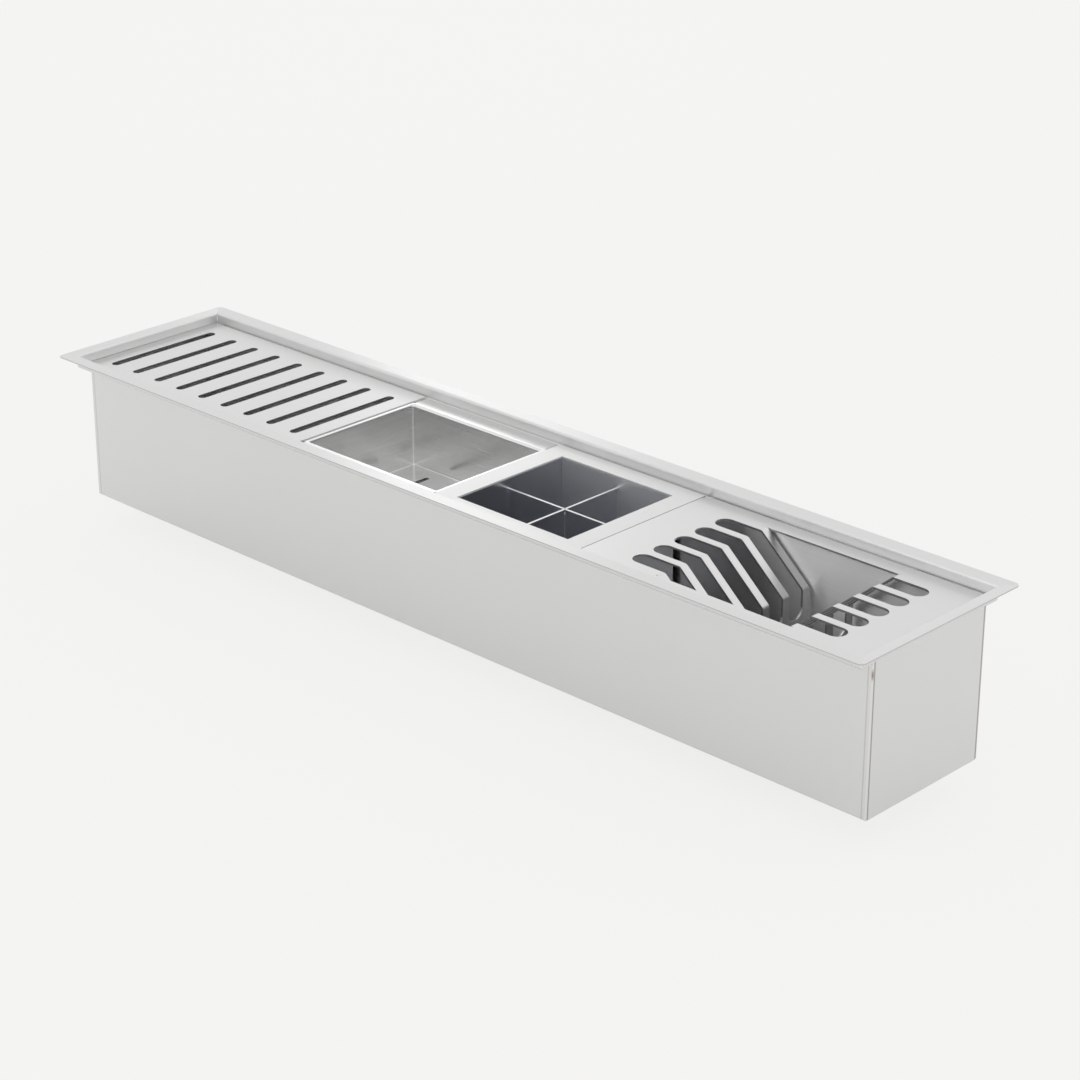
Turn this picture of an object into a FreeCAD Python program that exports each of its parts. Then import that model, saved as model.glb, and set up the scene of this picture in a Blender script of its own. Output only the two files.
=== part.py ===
import FreeCAD
import Part
import math
import os
import re
import Sketcher

# Countertop wet trough with a slotted grate, a bin, a cutlery holder and a dish rack.
# Millimetres. The origin is the middle of the worktop cut-out, on the worktop surface: the underside
# of the flange lies at z = 0. +X runs along the trough to the dish rack, +Y to the back, +Z up.

SIZES = {
    # Trough
    "body_length": 977.0,  # over the end panels
    "body_width": 148.4,  # over the long walls
    "trough_height": 153.0,  # flange top to underside of the floor
    "ledge_width": 15.8,  # long wall to recess wall
    "ledge_depth": 12.3,  # flange top to ledge top
    "side_overhang": 14.0,  # recess wall to flange edge
    "end_overhang": 11.5,  # end panel to flange edge
    "flange_corner": 5.0,
    "trough_sheet": 1.2,
    "bend_radius": 1.5,  # inside of every bend of the trough
    "lip_straight": 1.0,  # upright run of an end panel's lip below its bend
    "weld_bevel": 0.6,
    "cut_margin": 5.0,  # overrun of a cutting shape past what it cuts
    # Inserts
    "insert_gap": 0.6,  # between inserts, and from insert to end panel
    "side_play": 0.3,  # insert edge to the bend at the foot of the recess wall
    "plate_sheet": 2.0,
    "plate_corner": 8.0,
    # Grate
    "grate_slot_width": 9.2,
    "grate_slot_inset": 8.0,  # long wall to the end of a slot
    "grate_slot_pitch": 33.0,
    "grate_end_margin": 17.0,  # least plate left at each end of the row of slots
    # Bin
    "bin_length": 176.8,
    "bin_sheet": 1.0,
    "bin_bend": 1.5,
    "bin_lip": 3.5,  # inside of the short wall to the lip edge
    "bin_side_gap": 6.0,  # tub to the long wall of the trough
    "bin_depth": 61.4,  # lip top to floor
    "bin_slot_width": 5.0,
    "bin_slot_inset": 15.0,  # wall of the tub to the end of a slot
    "bin_slot_pitch": 49.3,
    # Cutlery holder
    "cutlery_length": 176.8,
    "cutlery_opening": 134.0,  # along the trough
    "box_side_gap": 5.0,  # box to the long wall of the trough
    "box_sheet": 1.0,
    "box_bend": 1.5,
    "box_depth": 100.0,  # underside of the plate to the box floor
    "box_drain_radius": 6.0,
    "divider_sheet": 1.5,
    "divider_drop": 12.2,  # plate top to divider top
    "lap_play": 0.1,
    # Dish rack
    "rack_length": 309.0,
    "rack_bend": 2.0,
    "rack_bend_reach": 70.0,  # rack middle to the upper bend
    "rack_joint_setback": 3.0,  # upper bend to the joint with the rails
    "rack_gap_half": 22.8,  # rack middle to the upright of a tongue
    "rack_slant": 41.0,  # degrees below level
    "rack_slot_width": 18.2,
    "rack_slot_pitch": 26.45,
    "rack_slot_reach": 112.0,  # rack middle to the far end of a slot
    "rack_slot_drop": 67.1,  # plate top to the foot of a slot
    "rack_web": 10.0,  # foot of a slot to the end of the tongue
    "rack_side_gap": 2.5,  # least gap from tongue edge to the long wall of the trough
    "rail_play": 0.3,  # tongue edge to rail edge
    # Waste
    "waste_hole_radius": 22.5,
    "waste_flange_radius": 33.0,
    "waste_flange_height": 2.5,
    "waste_flange_edge": 1.2,  # height of the flange at its rim
    "waste_flange_slope": 4.0,
    "waste_neck_radius": 20.95,
    "waste_tail_radius": 20.0,
    "waste_tail_length": 18.0,
    "waste_bore_radius": 17.0,
    "waste_seat_radius": 19.6,
    "waste_seat_depth": 2.5,
    "gasket_height": 2.5,
    "gasket_radius": 32.0,
    "gasket_play": 0.4,  # neck to the gasket round it
    "nut_height": 8.2,
    "nut_flats": 52.0,
    "thread_play": 0.3,
    # Strainer
    "strainer_sheet": 0.8,
    "strainer_depth": 11.0,
    "strainer_play": 0.5,
    "strainer_hole_radius": 2.0,
    "strainer_hole_ring": 10.2,
    "knob_radius": 6.0,
    "knob_stem_radius": 2.5,
    "knob_rise": 9.0,  # rim of the basket to the top of the knob
    "knob_head": 4.0,
    "knob_crown": 3.6,
}

# Places worked out from the sizes. A place may use another place.
PLACES = {
    "half_inside": "body_length / 2 - trough_sheet",
    "half_outside": "body_length / 2",
    "half_flange": "body_length / 2 + end_overhang",
    "bend_outside": "bend_radius + trough_sheet",
    "wall_outside": "body_width / 2",
    "wall_inside": "body_width / 2 - trough_sheet",
    "recess_outside": "body_width / 2 + ledge_width",
    "recess_inside": "recess_outside - trough_sheet",
    "flange_edge": "recess_outside + side_overhang",
    "flange_top": "trough_sheet",
    "ledge_top": "trough_sheet - ledge_depth",
    "ledge_under": "ledge_top - trough_sheet",
    "floor_under": "trough_sheet - trough_height",
    "floor_top": "floor_under + trough_sheet",
    "mitre_run": "half_flange + cut_margin - half_inside",
    "insert_half": "recess_inside - bend_radius - side_play",
    "plate_top": "ledge_top + plate_sheet",
    "rack_right": "half_inside - insert_gap",
    "rack_left": "rack_right - rack_length",
    "rack_middle": "rack_right - rack_length / 2",
    "cutlery_right": "rack_left - insert_gap",
    "cutlery_left": "cutlery_right - cutlery_length",
    "cutlery_middle": "cutlery_right - cutlery_length / 2",
    "bin_right": "cutlery_left - insert_gap",
    "bin_left": "bin_right - bin_length",
    "bin_middle": "bin_right - bin_length / 2",
    "grate_right": "bin_left - insert_gap",
    "grate_left": "insert_gap - half_inside",
    "grate_middle": "(grate_left + grate_right) / 2",
    "bin_lip_top": "ledge_top + bin_sheet",
    "bin_half": "wall_inside - bin_side_gap - bin_sheet",
    "mouth_run": "cutlery_opening / 2",
    "mouth_half": "wall_inside - box_side_gap - box_sheet",
    "box_floor": "ledge_top - box_depth",
    "divider_top": "plate_top - divider_drop",
    "lap_foot": "(divider_top + box_floor) / 2",
    "lap_half": "divider_sheet / 2 + lap_play",
    "rack_strip": "rack_slot_pitch - rack_slot_width",
    "rack_joint": "rack_bend_reach + rack_joint_setback",
    "rack_bend_outside": "rack_bend + plate_sheet",
    "rack_elbow": "plate_top - (rack_bend_reach - rack_gap_half) * tan(rack_slant * 1 deg)",
    "rack_bend_under": "rack_bend_reach + plate_sheet * tan(rack_slant * 0.5 deg)",
    "rack_elbow_under": "rack_elbow - plate_sheet * tan(45 deg - rack_slant * 0.5 deg)",
    "rack_slot_foot": "plate_top - rack_slot_drop",
    "rack_slot_turn": "rack_slot_foot + rack_slot_width / 2",
    "rack_tongue_end": "rack_slot_foot - rack_web",
    "waste_top": "floor_top + waste_flange_height",
    "waste_seat": "waste_top - waste_seat_depth",
    "nut_top": "floor_under - gasket_height",
    "waste_shoulder": "nut_top - nut_height",
    "waste_end": "waste_shoulder - waste_tail_length",
    "nut_reach": "nut_flats / (2 * cos(30 deg))",
    "strainer_rim": "waste_seat + strainer_sheet",
    "strainer_rim_radius": "waste_seat_radius - strainer_play",
    "strainer_cup_radius": "waste_bore_radius - strainer_play",
    "strainer_floor": "waste_seat - strainer_depth",
    "knob_top": "strainer_rim + knob_rise",
}

BIN_SLOTS = 3
STRAINER_HOLES = 6

PLANES = {"top": "XY_Plane", "front": "XZ_Plane", "side": "YZ_Plane"}
UPWARD = FreeCAD.Vector(0, 0, 1)

DOC = FreeCAD.newDocument("WetTrough")


def make_sheet():
    """Put every size into the sheet under its own alias."""
    sheet = DOC.addObject("Spreadsheet::Sheet", "Sizes")
    for row, (alias, size) in enumerate(SIZES.items(), 1):
        sheet.set(f"A{row}", str(size))
        sheet.setAlias(f"A{row}", alias)
    DOC.recompute()
    return sheet


SHEET = make_sheet()


def formula(text):
    """Spell out a formula: sizes become cells of the sheet, places their own formulas."""
    def spell(match):
        name = match.group()
        if name in SIZES:
            return f"Sizes.{name}"
        if name in PLACES:
            return f"({formula(PLACES[name])})"
        return name
    return re.sub(r"[a-z_]+", spell, text)


def number(text):
    """Value of a formula at the present sizes."""
    return float(SHEET.evalExpression(formula(text)))


def new_body(label):
    body = DOC.addObject("PartDesign::Body", label)
    body.Label = label
    return body


def origin_feature(body, role):
    return next(item for item in body.Origin.OriginFeatures if item.Role == role)


def sketch_on(body, name, plane, height="0"):
    """Sketch on a plane of the body, moved along the plane's normal by a formula."""
    sketch = body.newObject("Sketcher::SketchObject", f"{body.Name}_{name}")
    sketch.AttachmentSupport = [(origin_feature(body, PLANES[plane]), "")]
    sketch.MapMode = "FlatFace"
    if height != "0":
        sketch.setExpression("AttachmentOffset.Base.z", formula(height))
    return sketch


def at(item, vertex, across, up):
    """Rules that tie a point of a sketch to formulas measured from the sketch origin."""
    rules = []
    for kind, axis, text in (("DistanceX", -2, across), ("DistanceY", -1, up)):
        if text == "0":
            rules.append((Sketcher.Constraint("PointOnObject", item, vertex, axis), None))
        else:
            rule = Sketcher.Constraint(kind, -1, 1, item, vertex, number(text))
            rules.append((rule, text))
    return rules


def apply_rules(sketch, rules):
    """Add constraints to a sketch and bind the sized ones to the sheet."""
    places = sketch.addConstraint([rule for rule, text in rules])
    for place, (rule, text) in zip(places, rules):
        if text is not None:
            sketch.setExpression(f"Constraints[{place}]", formula(text))


def outline(sketch, corners):
    """Closed outline through corners (across, up) or rounded corners (across, up, radius)."""
    spots = [FreeCAD.Vector(number(corner[0]), number(corner[1]), 0) for corner in corners]
    arrivals = []
    departures = []
    arcs = []
    for place, corner in enumerate(corners):
        spot = spots[place]
        back = (spots[place - 1] - spot).normalize()
        ahead = (spots[(place + 1) % len(spots)] - spot).normalize()
        radius = number(corner[2]) if len(corner) > 2 else 0.0
        half = back.getAngle(ahead) / 2
        arrivals.append(spot + back * (radius / math.tan(half)))
        departures.append(spot + ahead * (radius / math.tan(half)))
        centre = spot + (back + ahead).normalize() * (radius / math.sin(half)) if radius else None
        arcs.append((centre, radius, back.cross(ahead).z < 0))
    lines = []
    for place in range(len(corners)):
        finish = arrivals[(place + 1) % len(corners)]
        lines.append(sketch.addGeometry(Part.LineSegment(departures[place], finish), False))
    rules = []
    for place, corner in enumerate(corners):
        before = lines[place - 1]
        after = lines[place]
        centre, radius, left_turn = arcs[place]
        if centre is None:
            rules.append((Sketcher.Constraint("Coincident", before, 2, after, 1), None))
            rules += at(after, 1, corner[0], corner[1])
            continue
        ends = [arrivals[place], departures[place]]
        if not left_turn:
            ends.reverse()
        angles = [math.atan2(end.y - centre.y, end.x - centre.x) for end in ends]
        circle = Part.Circle(centre, UPWARD, radius)
        arc = sketch.addGeometry(Part.ArcOfCircle(circle, angles[0], angles[1]), False)
        apex = sketch.addGeometry(Part.Point(spots[place]), True)
        first, last = (1, 2) if left_turn else (2, 1)
        rules += at(apex, 1, corner[0], corner[1])
        rules.append((Sketcher.Constraint("PointOnObject", apex, 1, before), None))
        rules.append((Sketcher.Constraint("PointOnObject", apex, 1, after), None))
        rules.append((Sketcher.Constraint("Tangent", before, 2, arc, first), None))
        rules.append((Sketcher.Constraint("Tangent", arc, last, after, 1), None))
        rules.append((Sketcher.Constraint("Radius", arc, radius), corner[2]))
    apply_rules(sketch, rules)


def box(sketch, left, right, low, high):
    outline(sketch, [(left, low), (right, low), (right, high), (left, high)])


def circle(sketch, across, up, radius):
    centre = FreeCAD.Vector(number(across), number(up), 0)
    ring = sketch.addGeometry(Part.Circle(centre, UPWARD, number(radius)), False)
    rules = at(ring, 3, across, up)
    rules.append((Sketcher.Constraint("Radius", ring, number(radius)), radius))
    apply_rules(sketch, rules)


def slot(sketch, start, finish, radius):
    """Slot with round ends about two points (across, up)."""
    points = [FreeCAD.Vector(number(across), number(up), 0) for across, up in (start, finish)]
    run = points[1] - points[0]
    turn = math.atan2(run.y, run.x)
    size = number(radius)
    side = FreeCAD.Vector(-math.sin(turn), math.cos(turn), 0) * size
    quarter = math.pi / 2
    circles = [Part.Circle(point, UPWARD, size) for point in points]
    near = sketch.addGeometry(Part.ArcOfCircle(circles[0], turn + quarter, turn + 3 * quarter), False)
    far = sketch.addGeometry(Part.ArcOfCircle(circles[1], turn - quarter, turn + quarter), False)
    low = sketch.addGeometry(Part.LineSegment(points[0] - side, points[1] - side), False)
    high = sketch.addGeometry(Part.LineSegment(points[1] + side, points[0] + side), False)
    rules = [
        (Sketcher.Constraint("Tangent", near, 2, low, 1), None),
        (Sketcher.Constraint("Tangent", low, 2, far, 1), None),
        (Sketcher.Constraint("Tangent", far, 2, high, 1), None),
        (Sketcher.Constraint("Tangent", high, 2, near, 1), None),
        (Sketcher.Constraint("Equal", near, far), None),
        (Sketcher.Constraint("Radius", near, size), radius),
    ]
    rules += at(near, 3, *start)
    rules += at(far, 3, *finish)
    apply_rules(sketch, rules)


def pad(body, sketch, length, both=False, reverse=False):
    """Extrude a sketch, to both sides of it if asked."""
    feature = body.newObject("PartDesign::Pad", f"{sketch.Name}_pad")
    feature.Profile = sketch
    feature.setExpression("Length", formula(length))
    feature.SideType = "Symmetric" if both else "One side"
    feature.Reversed = reverse
    DOC.recompute()
    return feature


def cut(body, sketch, length=None):
    """Cut a sketch through the body, or against the sketch normal over a length."""
    before = body.Shape.Volume
    feature = body.newObject("PartDesign::Pocket", f"{sketch.Name}_cut")
    feature.Profile = sketch
    if length is None:
        feature.Type = "ThroughAll"
        feature.SideType = "Symmetric"
    else:
        feature.setExpression("Length", formula(length))
    DOC.recompute()
    if body.Shape.Volume > before - 0.001:
        raise RuntimeError(f"{sketch.Name} cuts nothing")
    return feature


def turn_about_upright(body, sketch):
    """Revolve a sketch about its own vertical axis."""
    feature = body.newObject("PartDesign::Revolution", f"{sketch.Name}_turn")
    feature.Profile = sketch
    feature.ReferenceAxis = (sketch, ["V_Axis"])
    feature.Angle = 360
    DOC.recompute()
    return feature


def mirror(body, feature, plane):
    twin = body.newObject("PartDesign::Mirrored", f"{feature.Name}_twin")
    twin.Originals = [feature]
    twin.MirrorPlane = (origin_feature(body, PLANES[plane]), [""])
    body.Tip = twin
    DOC.recompute()
    return twin


def repeat(body, features, axis, length, count):
    """Row of features along an axis of the body."""
    row = body.newObject("PartDesign::LinearPattern", f"{features[0].Name}_row")
    row.Originals = features
    row.Direction = (origin_feature(body, axis), [""])
    row.setExpression("Length", formula(length))
    row.Occurrences = count
    body.Tip = row
    DOC.recompute()
    return row


def repeat_round(body, feature, count):
    """Ring of features about the body's upright axis."""
    ring = body.newObject("PartDesign::PolarPattern", f"{feature.Name}_ring")
    ring.Originals = [feature]
    ring.Axis = (origin_feature(body, "Z_Axis"), [""])
    ring.Angle = 360
    ring.Occurrences = count
    body.Tip = ring
    DOC.recompute()
    return ring


def dress_edges(body, name, kind, size, wanted):
    """Fillet or chamfer the edges of the body that a test picks out."""
    base = body.Tip
    picked = [f"Edge{place}" for place, edge in enumerate(base.Shape.Edges, 1) if wanted(edge)]
    if not picked:
        raise RuntimeError(f"{body.Name} has no edge for {name}")
    feature = body.newObject(f"PartDesign::{kind}", f"{body.Name}_{name}")
    feature.Base = (base, picked)
    feature.setExpression("Radius" if kind == "Fillet" else "Size", formula(size))
    DOC.recompute()
    return feature


def level(edge, height):
    """True for an edge that lies at one height."""
    box_of_edge = edge.BoundBox
    return abs(box_of_edge.ZMin - height) < 0.001 and abs(box_of_edge.ZMax - height) < 0.001


def middle_of(edge):
    return edge.valueAt((edge.FirstParameter + edge.LastParameter) / 2)


def trim_flange_corners(body):
    """Cut the body back to the rounded outline of the whole flange."""
    sketch = sketch_on(body, "corners", "top")
    far = "half_flange + cut_margin"
    side = "flange_edge + cut_margin"
    box(sketch, f"-({far})", far, f"-({side})", side)
    outline(sketch, [
        ("-half_flange", "-flange_edge", "flange_corner"),
        ("half_flange", "-flange_edge", "flange_corner"),
        ("half_flange", "flange_edge", "flange_corner"),
        ("-half_flange", "flange_edge", "flange_corner"),
    ])
    cut(body, sketch)


def make_channel():
    """Floor, long walls, ledges, recess walls and long flanges, folded from one sheet."""
    body = new_body("trough_channel")
    section = sketch_on(body, "section", "side")
    outline(section, [
        ("0", "floor_top"),
        ("wall_inside", "floor_top", "bend_radius"),
        ("wall_inside", "ledge_top", "bend_outside"),
        ("recess_inside", "ledge_top", "bend_radius"),
        ("recess_inside", "flange_top", "bend_outside"),
        ("flange_edge", "flange_top"),
        ("flange_edge", "0"),
        ("recess_outside", "0", "bend_radius"),
        ("recess_outside", "ledge_under", "bend_outside"),
        ("wall_outside", "ledge_under", "bend_radius"),
        ("wall_outside", "floor_under", "bend_outside"),
        ("0", "floor_under"),
    ])
    mirror(body, pad(body, section, "half_flange * 2", both=True), "front")
    ends = sketch_on(body, "ends", "top", "-bend_radius")
    side = "flange_edge + cut_margin"
    for sign in ("-", ""):
        outline(ends, [
            (f"{sign}(half_inside)", f"-({side})"),
            (f"{sign}(half_flange + cut_margin)", f"-({side})"),
            (f"{sign}(half_flange + cut_margin)", side),
            (f"{sign}(half_inside)", side),
        ])
    cut(body, ends, "trough_height")
    mitres = sketch_on(body, "mitres", "top")
    for sign in ("-", ""):
        outline(mitres, [
            (f"{sign}(half_inside)", "-recess_inside"),
            (f"{sign}(half_flange + cut_margin)", "-recess_inside - mitre_run"),
            (f"{sign}(half_flange + cut_margin)", "recess_inside + mitre_run"),
            (f"{sign}(half_inside)", "recess_inside"),
        ])
    cut(body, mitres)
    trim_flange_corners(body)
    hole = sketch_on(body, "hole", "top")
    circle(hole, "rack_middle", "0", "waste_hole_radius")
    cut(body, hole)
    return body


def make_end_panel(label, sign):
    """Sheet that closes one end of the channel, with its own lip and flange."""
    body = new_body(label)
    reverse = sign == "-"
    plate = sketch_on(body, "plate", "side", f"{sign}(half_inside)")
    lip_foot = "-bend_radius - lip_straight"
    outline(plate, [
        ("-wall_inside", "floor_top", "bend_radius"),
        ("wall_inside", "floor_top", "bend_radius"),
        ("wall_inside", "ledge_top", "bend_outside"),
        ("recess_inside", "ledge_top", "bend_radius"),
        ("recess_inside", lip_foot),
        ("-recess_inside", lip_foot),
        ("-recess_inside", "ledge_top", "bend_radius"),
        ("-wall_inside", "ledge_top", "bend_outside"),
    ])
    pad(body, plate, "trough_sheet", reverse=reverse)
    lip = sketch_on(body, "lip", "front")
    outline(lip, [
        (f"{sign}(half_inside)", lip_foot),
        (f"{sign}(half_inside)", "flange_top", "bend_outside"),
        (f"{sign}(half_flange)", "flange_top"),
        (f"{sign}(half_flange)", "0"),
        (f"{sign}(half_outside)", "0", "bend_radius"),
        (f"{sign}(half_outside)", lip_foot),
    ])
    pad(body, lip, "flange_edge * 2", both=True)
    mitres = sketch_on(body, "mitres", "top")
    for side in ("-", ""):
        outline(mitres, [
            (f"{sign}(half_inside)", f"{side}(recess_inside)"),
            (f"{sign}(half_flange + cut_margin)", f"{side}(recess_inside + mitre_run)"),
            (f"{sign}(half_inside)", f"{side}(recess_inside + mitre_run)"),
        ])
    cut(body, mitres)
    shoulders = sketch_on(body, "shoulders", "top", "-bend_radius")
    for side in ("-", ""):
        outline(shoulders, [
            (f"{sign}(half_inside - cut_margin)", f"{side}(recess_inside)"),
            (f"{sign}(half_outside + bend_radius)", f"{side}(recess_inside)"),
            (f"{sign}(half_outside + bend_radius)", f"{side}(recess_outside + cut_margin)"),
            (f"{sign}(half_inside - cut_margin)", f"{side}(recess_outside + cut_margin)"),
        ])
    cut(body, shoulders, "ledge_depth")
    trim_flange_corners(body)
    return body


def make_end_weld(label, sign, panel):
    """Bead in the open corner between the end of the channel and the rim of the end panel."""
    body = new_body(label)
    section = sketch_on(body, "section", "side", f"{sign}(half_inside)")
    outline(section, [
        ("0", "floor_top"),
        ("wall_inside", "floor_top", "bend_radius"),
        ("wall_inside", "ledge_top", "bend_outside"),
        ("recess_inside", "ledge_top", "bend_radius"),
        ("recess_inside", "-bend_radius"),
        ("recess_outside", "-bend_radius"),
        ("recess_outside", "ledge_under", "bend_outside"),
        ("wall_outside", "ledge_under", "bend_radius"),
        ("wall_outside", "floor_under", "bend_outside"),
        ("0", "floor_under"),
    ])
    mirror(body, pad(body, section, "trough_sheet", reverse=sign == "-"), "front")
    face = number(f"{sign}(half_outside)")
    reach = number("trough_sheet") * 0.8

    def on_outer_rim(edge):
        box_of_edge = edge.BoundBox
        if abs(box_of_edge.XMin - face) > 0.001 or abs(box_of_edge.XMax - face) > 0.001:
            return False
        return panel.Shape.distToShape(Part.Vertex(middle_of(edge)))[0] > reach

    dress_edges(body, "bevel", "Chamfer", "weld_bevel", on_outer_rim)
    return body


def count_in_row(room, pitch):
    """How many features at a pitch fit when their middles may spread over a length."""
    return int(number(room) / number(pitch)) + 1


def make_grate():
    """Flat plate with a row of slots."""
    body = new_body("grate_plate")
    plate = sketch_on(body, "plate", "top", "ledge_top")
    outline(plate, [
        ("grate_left", "-insert_half", "plate_corner"),
        ("grate_right", "-insert_half"),
        ("grate_right", "insert_half"),
        ("grate_left", "insert_half", "plate_corner"),
    ])
    pad(body, plate, "plate_sheet")
    room = "grate_right - grate_left - 2 * grate_end_margin - grate_slot_width"
    count = count_in_row(room, "grate_slot_pitch")
    row = f"grate_slot_pitch * {count - 1}"
    first = f"grate_middle - {row} / 2"
    turn = "(wall_inside - grate_slot_inset - grate_slot_width / 2)"
    opening = sketch_on(body, "slot", "top")
    slot(opening, (first, f"-{turn}"), (first, turn), "grate_slot_width / 2")
    repeat(body, [cut(body, opening)], "X_Axis", row, count)
    return body


def make_bin():
    """Folded tub that hangs by its lip."""
    body = new_body("bin_tub")
    lip = sketch_on(body, "lip", "top", "ledge_top")
    box(lip, "bin_left", "bin_right", "-insert_half", "insert_half")
    pad(body, lip, "bin_sheet")
    tub = sketch_on(body, "tub", "top", "ledge_top")
    box(tub, "bin_left + bin_lip - bin_sheet", "bin_right - bin_lip + bin_sheet",
        "-bin_half - bin_sheet", "bin_half + bin_sheet")
    pad(body, tub, "bin_depth", reverse=True)
    inside = sketch_on(body, "inside", "top", "bin_lip_top")
    box(inside, "bin_left + bin_lip", "bin_right - bin_lip", "-bin_half", "bin_half")
    cut(body, inside, "bin_depth")
    left = number("bin_left + bin_lip - bin_sheet") - 0.01
    right = number("bin_right - bin_lip + bin_sheet") + 0.01

    def of_tub(height):
        def wanted(edge):
            spot = middle_of(edge)
            side = number("bin_half + bin_sheet") + 0.01
            return level(edge, number(height)) and left < spot.x < right and abs(spot.y) < side
        return wanted

    dress_edges(body, "floor_inside", "Fillet", "bin_bend", of_tub("bin_lip_top - bin_depth"))
    dress_edges(body, "floor_outside", "Fillet", "bin_bend + bin_sheet", of_tub("ledge_top - bin_depth"))
    dress_edges(body, "lip_inside", "Fillet", "bin_bend + bin_sheet", of_tub("bin_lip_top"))
    row = f"bin_slot_pitch * {BIN_SLOTS - 1}"
    first = f"bin_middle - {row} / 2"
    turn = "(bin_half - bin_slot_inset - bin_slot_width / 2)"
    opening = sketch_on(body, "slot", "top")
    slot(opening, (first, f"-{turn}"), (first, turn), "bin_slot_width / 2")
    repeat(body, [cut(body, opening)], "X_Axis", row, BIN_SLOTS)
    return body


def make_cutlery_plate():
    """Flat plate round the mouth of the cutlery box."""
    body = new_body("cutlery_plate")
    plate = sketch_on(body, "plate", "top", "ledge_top")
    box(plate, "cutlery_left", "cutlery_right", "-insert_half", "insert_half")
    box(plate, "cutlery_middle - mouth_run", "cutlery_middle + mouth_run", "-mouth_half", "mouth_half")
    pad(body, plate, "plate_sheet")
    return body


def make_cutlery_shell():
    """Front, bottom and back of the cutlery box, folded from one sheet."""
    body = new_body("cutlery_shell")
    section = sketch_on(body, "section", "side", "cutlery_middle")
    outline(section, [
        ("0", "box_floor"),
        ("mouth_half", "box_floor", "box_bend"),
        ("mouth_half", "ledge_top"),
        ("mouth_half + box_sheet", "ledge_top"),
        ("mouth_half + box_sheet", "box_floor - box_sheet", "box_bend + box_sheet"),
        ("0", "box_floor - box_sheet"),
    ])
    mirror(body, pad(body, section, "cutlery_opening + 2 * box_sheet", both=True), "front")
    drains = sketch_on(body, "drains", "top", "box_floor + box_bend")
    for across in ("cutlery_middle - mouth_run / 2", "cutlery_middle + mouth_run / 2"):
        for up in ("-mouth_half / 2", "mouth_half / 2"):
            circle(drains, across, up, "box_drain_radius")
    cut(body, drains, "box_bend + box_sheet + cut_margin")
    return body


def make_cutlery_wall(label, sign):
    """Side sheet that closes one end of the folded box."""
    body = new_body(label)
    wall = sketch_on(body, "wall", "side", f"cutlery_middle {sign} mouth_run")
    outline(wall, [
        ("-mouth_half", "box_floor", "box_bend"),
        ("mouth_half", "box_floor", "box_bend"),
        ("mouth_half", "ledge_top"),
        ("-mouth_half", "ledge_top"),
    ])
    pad(body, wall, "box_sheet", reverse=sign == "-")
    return body


def make_divider_long():
    """Divider along the trough, slotted from above for the one that crosses it."""
    body = new_body("divider_long")
    sheet = sketch_on(body, "sheet", "front")
    outline(sheet, [
        ("cutlery_middle - mouth_run", "box_floor"),
        ("cutlery_middle + mouth_run", "box_floor"),
        ("cutlery_middle + mouth_run", "divider_top"),
        ("cutlery_middle + lap_half", "divider_top"),
        ("cutlery_middle + lap_half", "lap_foot"),
        ("cutlery_middle - lap_half", "lap_foot"),
        ("cutlery_middle - lap_half", "divider_top"),
        ("cutlery_middle - mouth_run", "divider_top"),
    ])
    pad(body, sheet, "divider_sheet", both=True)
    return body


def make_divider_cross():
    """Divider across the trough, slotted from below, with corners clear of the box bends."""
    body = new_body("divider_cross")
    sheet = sketch_on(body, "sheet", "side", "cutlery_middle")
    outline(sheet, [
        ("-mouth_half", "box_floor", "box_bend * 2"),
        ("-lap_half", "box_floor"),
        ("-lap_half", "lap_foot"),
        ("lap_half", "lap_foot"),
        ("lap_half", "box_floor"),
        ("mouth_half", "box_floor", "box_bend * 2"),
        ("mouth_half", "divider_top"),
        ("-mouth_half", "divider_top"),
    ])
    pad(body, sheet, "divider_sheet", both=True)
    return body


def rack_row():
    """Number of dish slots that fit between the long walls, and the spread of their middles."""
    room = "2 * (wall_inside - rack_side_gap - rack_strip) - rack_slot_width"
    count = count_in_row(room, "rack_slot_pitch")
    return count, f"rack_slot_pitch * {count - 1}"


def tongue_half():
    """Half the width of a comb's tongue: slots, strips between them and one strip outside each end."""
    return f"({rack_row()[1]} / 2 + rack_slot_width / 2 + rack_strip)"


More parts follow.
